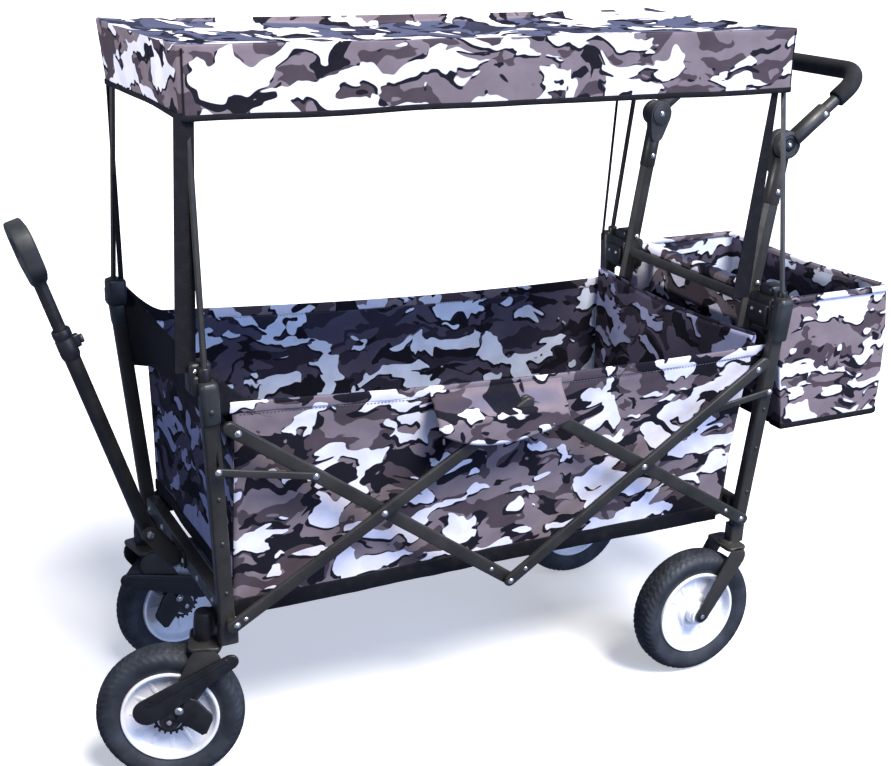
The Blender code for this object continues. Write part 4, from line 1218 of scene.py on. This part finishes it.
# --- pull handle ----------------------------------------------------------------------------------
def pull_handle():
    """Tube with a collar and a lock button, and the looped grip on the tube that slides in it."""
    frame_at = Matrix.Translation(PULL_PIVOT) @ Matrix.Rotation(-PULL_LEAN, 4, "Y")
    high, low = PULL_TUBE, PULL_TUBE - PULL_COLLAR
    profile = [
        (0.0100, high - 0.004), (0.0108, high - 0.0045), (0.0108, -0.0095), (0.0102, -0.0108),
        (0.0096, -0.0108), (0.0094, -0.009), (0.0094, high - 0.006),
    ]
    outer = shaped(add_lathe, profile, frame_at, 32, closed=True)
    finished("pull_tube", outer, DARK_STEEL, "pull_handle", ["pull_outer_tube"])
    ring = [
        (0.0098, high), (0.0118, high), (0.0127, high - 0.002), (0.0127, high - 0.010),
        (0.0122, high - 0.011), (0.0122, high - 0.014), (0.0129, high - 0.015), (0.0129, low + 0.003),
        (0.0120, low), (0.0110, low - 0.003), (0.0110, low),
    ]
    collar = shaped(add_lathe, ring, frame_at, 36, closed=True)
    lock = frame_at @ at(0.0, 0.0, high - 0.022)
    add_box(collar, (0.013, 0.011, 0.018), lock @ at(0.0120, 0.0, 0.0), 0.0025, 3)
    finished("pull_collar", collar, PLASTIC, "pull_handle")
    pin = shaped(add_disc, 0.0052, -0.0215, 0.0215, frame_at @ Matrix.Rotation(QUARTER, 4, "X"), 0.001)
    finished("pull_pin_heads", pin, RIVET, "pull_handle")
    button = shaped(add_disc, 0.0062, 0.0180, 0.0235, lock @ Matrix.Rotation(QUARTER, 4, "Y"), 0.0018)
    finished("pull_button_cap", button, GREY_PLASTIC, "pull_button", ["pull_lock_button"], 45.0)
    corners = [(0.0, 0.0, 0.006), (0.0, 0.034, 0.024), (0.0, 0.0345, 0.071), (0.0, -0.0345, 0.071),
               (0.0, -0.034, 0.024)]
    radii = [0.010, 0.012, 0.018, 0.018, 0.012]
    place = frame_at @ at(0.0, 0.0, PULL_GRIP)
    path = []
    for index, (corner, radius) in enumerate(zip(corners, radii)):
        bend = bent_path([corners[index - 1], corner, corners[(index + 1) % len(corners)]], radius, 5)
        path += [place @ point for point in bend[1:-1]]
    facing_front = place.to_3x3() @ Vector((1.0, 0.0, 0.0))
    grip = shaped(add_sweep, path, rounded_box(0.0205, 0.0225, 0.0035, 3), facing_front, closed=True)
    add_disc(grip, 0.0100, -0.004, 0.010, place, 0.002)
    finished("pull_grip_shell", grip, GRIP_PLASTIC, "pull_extension", ["pull_grip"], 50.0)


def pull_bracket():
    """Bolt heads and a stiffening plate on the cross tube, around the pull handle's yoke."""
    face, middle_z = -POST_FOOT_X - 0.010, 0.263
    plate = shaped(add_box, (0.0035, 0.070, 0.022), at(face - 0.0012, 0.0, middle_z), 0.001)
    finished("pull_yoke_plate", plate, STEEL, "front_frame")
    spots = []
    for y in (-0.160, -0.090, -0.029, 0.029, 0.090, 0.160):
        on_plate = 0.003 if abs(y) < 0.05 else 0.0
        spots.append(facing((face - on_plate, y, middle_z), (-1.0, 0.0, 0.0)))
    rivets("front_tube_rivets", "front_frame", spots, 0.0038, 0.0020)


# --- push handle ----------------------------------------------------------------------------------
def push_handle():
    """The loop with its foam grip, and a knuckle at each of its ends."""
    near, far = (Vector((spot.x, LOOP_END.y, spot.z)) for spot in (KNUCKLE, LOOP_END))
    mirror = Vector((1.0, -1.0, 1.0))
    corners = [near * mirror, far * mirror, far, near]
    arm = (corners[1] - corners[0]).normalized()
    bend = 0.040
    path = bent_path([corners[0] + arm * 0.022, corners[1], corners[2], corners[3] + arm * 0.022], bend, 12)
    loop = shaped(add_sweep, path, circle(0.0088, 20), UP)
    for corner in (corners[0], corners[3]):
        sleeve = [corner + arm * way for way in (0.012, 0.014, 0.0765, 0.078)]
        add_sweep(loop, sleeve, circle(0.0122, 24), ends=[0.9, 1.0, 1.0, 0.9])
    finished("push_loop_tube", loop, STEEL, "push_handle", ["push_handle_loop"], 45.0)
    back = arm * 0.060
    path = bent_path([corners[1] - back, corners[1], corners[2], corners[2] - back], bend, 14)
    path = [path[0], path[0].lerp(path[1], 0.08), *path[1:-1], path[-1].lerp(path[-2], 0.08), path[-1]]
    ends = [0.84] + [1.0] * (len(path) - 2) + [0.84]
    foam = shaped(add_sweep, path, circle(0.0134, 28), UP, ends=ends)
    finished("push_foam", foam, FOAM, "push_handle", ["push_handle_grip"], 60.0)
    for side, sign in SIDES.items():
        outward = Vector((0.0, sign, 0.0))
        turning_half(side, outward)
        spot = corners[0 if sign < 0 else 3] + arm * 0.070 + outward * 0.0120
        rivets(f"push_arm_rivet_{side}", "push_handle", [facing(spot, outward)], *BOLT)
        fixed_half(side, outward)


def turning_half(side, outward):
    """Half of a knuckle that turns with the handle, with the button in its middle."""
    centre = Vector((KNUCKLE.x, SIDES[side] * KNUCKLE.y, KNUCKLE.z))
    turn = facing(centre + outward * 0.0013, outward)
    profile = [(0.0, 0.0), (0.0190, 0.0), (0.0203, 0.0015), (0.0203, 0.0115), (0.0190, 0.0138),
               (0.0155, 0.0146), (0.0150, 0.0132), (0.0100, 0.0132), (0.0095, 0.0125), (0.0095, 0.0060),
               (0.0, 0.0060)]
    finished(f"knuckle_shell_{side}", shaped(add_lathe, profile, turn, 40), GREY_PLASTIC, "push_handle",
             (), 35.0)
    button, face = f"push_button_{side}", 0.0142
    stud = shaped(add_disc, 0.0086, 0.0102, face, turn, 0.0012, 28)
    finished(f"knuckle_button_cap_{side}", stud, PLASTIC, button, [f"knuckle_button_{side}"])
    rivets(f"knuckle_dot_{side}", button, [turn @ at(0.0, 0.0, face)], 0.0030, 0.0014)
    turn_in, face = facing(centre - outward * 0.0132, -outward), 0.0026
    cap = shaped(add_disc, 0.0172, -0.0006, face, turn_in, 0.0010, 36)
    finished(f"knuckle_inner_cap_{side}", cap, CAP_PLASTIC, "rear_frame")
    rivets(f"knuckle_inner_dot_{side}", "rear_frame", [turn_in @ at(0.0, 0.0, face)], 0.0044, 0.0018)


def fixed_half(side, outward):
    """Fixed half of a knuckle, and the upper sleeve of the handle's lower tube with its rivets."""
    knuckle = Vector((KNUCKLE.x, SIDES[side] * KNUCKLE.y, KNUCKLE.z))
    down = (Vector((HANDLE_BEND[0], knuckle.y, HANDLE_BEND[1])) - knuckle).normalized()
    profile = [(0.0, 0.0), (0.0195, 0.0), (0.0206, 0.0015), (0.0206, 0.0120), (0.0190, 0.0146),
               (0.0080, 0.0150), (0.0, 0.0150)]
    shell = shaped(add_lathe, profile, facing(knuckle + outward * 0.0007, -outward), 40)
    finished(f"knuckle_base_shell_{side}", shell, GREY_PLASTIC, "rear_frame", (), 35.0)
    path = [knuckle + down * way for way in (0.0200, 0.0215, 0.0860, 0.0875)]
    sleeve = shaped(add_sweep, path, circle(0.0124, 24), ends=[0.93, 1.0, 1.0, 0.93])
    finished(f"handle_sleeve_{side}", sleeve, STEEL, "rear_frame", (), 45.0)
    spots = []
    for way, reach in ((0.069, 0.0124), (0.205, 0.0115)):
        for face in (-1.0, 1.0):
            across = Vector((0.0, face, 0.0))
            spots.append(facing(knuckle + down * way + across * reach, across))
    rivets(f"handle_rivets_{side}", "rear_frame", spots, *BOLT)


def kept_nodes():
    """Solids whose shape is right as it is take the finished materials."""
    looks = {"powder_coat": STEEL, "black_plastic": PLASTIC, "white_plastic": RIM_LOOK,
             "rubber": RUBBER, "foam": FOAM, "printed_cloth": CLOTH}
    slots = {part["node"]: part["material_slot"] for part in frame["record"]["subparts"]}
    for name, node in frame["nodes"].items():
        for slot in node.material_slots:
            slot.material = DARK_STEEL if name == "pull_inner_tube" else looks[slots[name]]


# --- stage ----------------------------------------------------------------------------------------
def light(name, kind, energy, colour, place, target, **settings):
    """A lamp at a place, turned towards a target."""
    data = bpy.data.lights.new(name, kind)
    data.energy = energy
    data.color = colour
    for key, value in settings.items():
        setattr(data, key, value)
    lamp = linked(name, data)
    lamp.location = place
    lamp.rotation_euler = (Vector(target) - Vector(place)).to_track_quat("-Z", "Y").to_euler()


def stage():
    """A pale floor, a soft high key from the camera's right, a blue fill, a spot on the canopy's front
    skirt, and a weak bluish sky."""
    world = bpy.data.worlds.new("studio")
    bpy.context.scene.world = world
    world.use_nodes = True
    sky = world.node_tree.nodes["Background"].inputs
    sky["Color"].default_value = (0.50, 0.62, 1.0, 1.0)
    sky["Strength"].default_value = 0.34
    reach = 60.0
    shape = bmesh.new()
    corners = ((-reach, -reach, 0.0), (reach, -reach, 0.0), (reach, reach, 0.0), (-reach, reach, 0.0))
    shape.faces.new([shape.verts.new(corner) for corner in corners])
    data = bpy.data.meshes.new("floor")
    shape.to_mesh(data)
    shape.free()
    floor = linked("floor", data)
    ground = Look("pale floor", (0.90, 0.90, 0.89), 0.9)
    ground.shader.inputs["Emission Color"].default_value = (1.0, 1.0, 1.0, 1.0)
    ground.shader.inputs["Emission Strength"].default_value = 0.40
    data.materials.append(ground.material)
    floor.visible_diffuse = False
    floor.visible_glossy = False
    light("key", "SUN", 5.6, (1.0, 0.965, 0.93), (0.0, 0.0, 0.0), (-0.30, 1.0, -1.55),
          angle=math.radians(26.0))
    light("fill", "AREA", 90.0, (0.42, 0.58, 1.0), (1.5, -3.3, 1.5), (0.0, 0.0, 0.4), size=2.4)
    light("canopy front", "SPOT", 270.0, (0.95, 0.95, 1.0), (-3.0, -0.5, 1.3), (-0.44, 0.0, 1.01),
          spot_size=math.radians(19.0), spot_blend=0.5, shadow_soft_size=0.2)
    bpy.context.scene.view_settings.view_transform = "Standard"


def camera():
    """The photo's camera, solved from the frame's corners."""
    yaw, pitch, roll = math.radians(26.26), math.radians(-18.95), math.radians(1.12)
    forward = Vector((math.sin(yaw) * math.cos(pitch), math.cos(yaw) * math.cos(pitch), math.sin(pitch)))
    level = Vector((math.cos(yaw), -math.sin(yaw), 0.0))
    upward = level.cross(forward)
    right = level * math.cos(roll) + upward * math.sin(roll)
    above = upward * math.cos(roll) - level * math.sin(roll)
    data = bpy.data.cameras.new("camera")
    data.sensor_width = 36.0
    data.lens = 56.98
    made = linked("camera", data)
    made.matrix_world = SHIFT @ at(-0.885, -1.786, 1.1436) @ basis(right, above, -forward)
    bpy.context.scene.camera = made


camera()
stage()
kept_nodes()
for side in SIDES:
    for end in ENDS:
        post(end, side)
    front_corner(side)
    corner_gusset(side)
    rear_corner(side)
    linkage(side)
    front_wheel(side)
    rear_wheel(side)
    tub_side(side)
    tub_flap(side)
for end in ENDS:
    tub_end(end)
tub_floor()
canopy()
basket()
straps()
pull_handle()
pull_bracket()
push_handle()
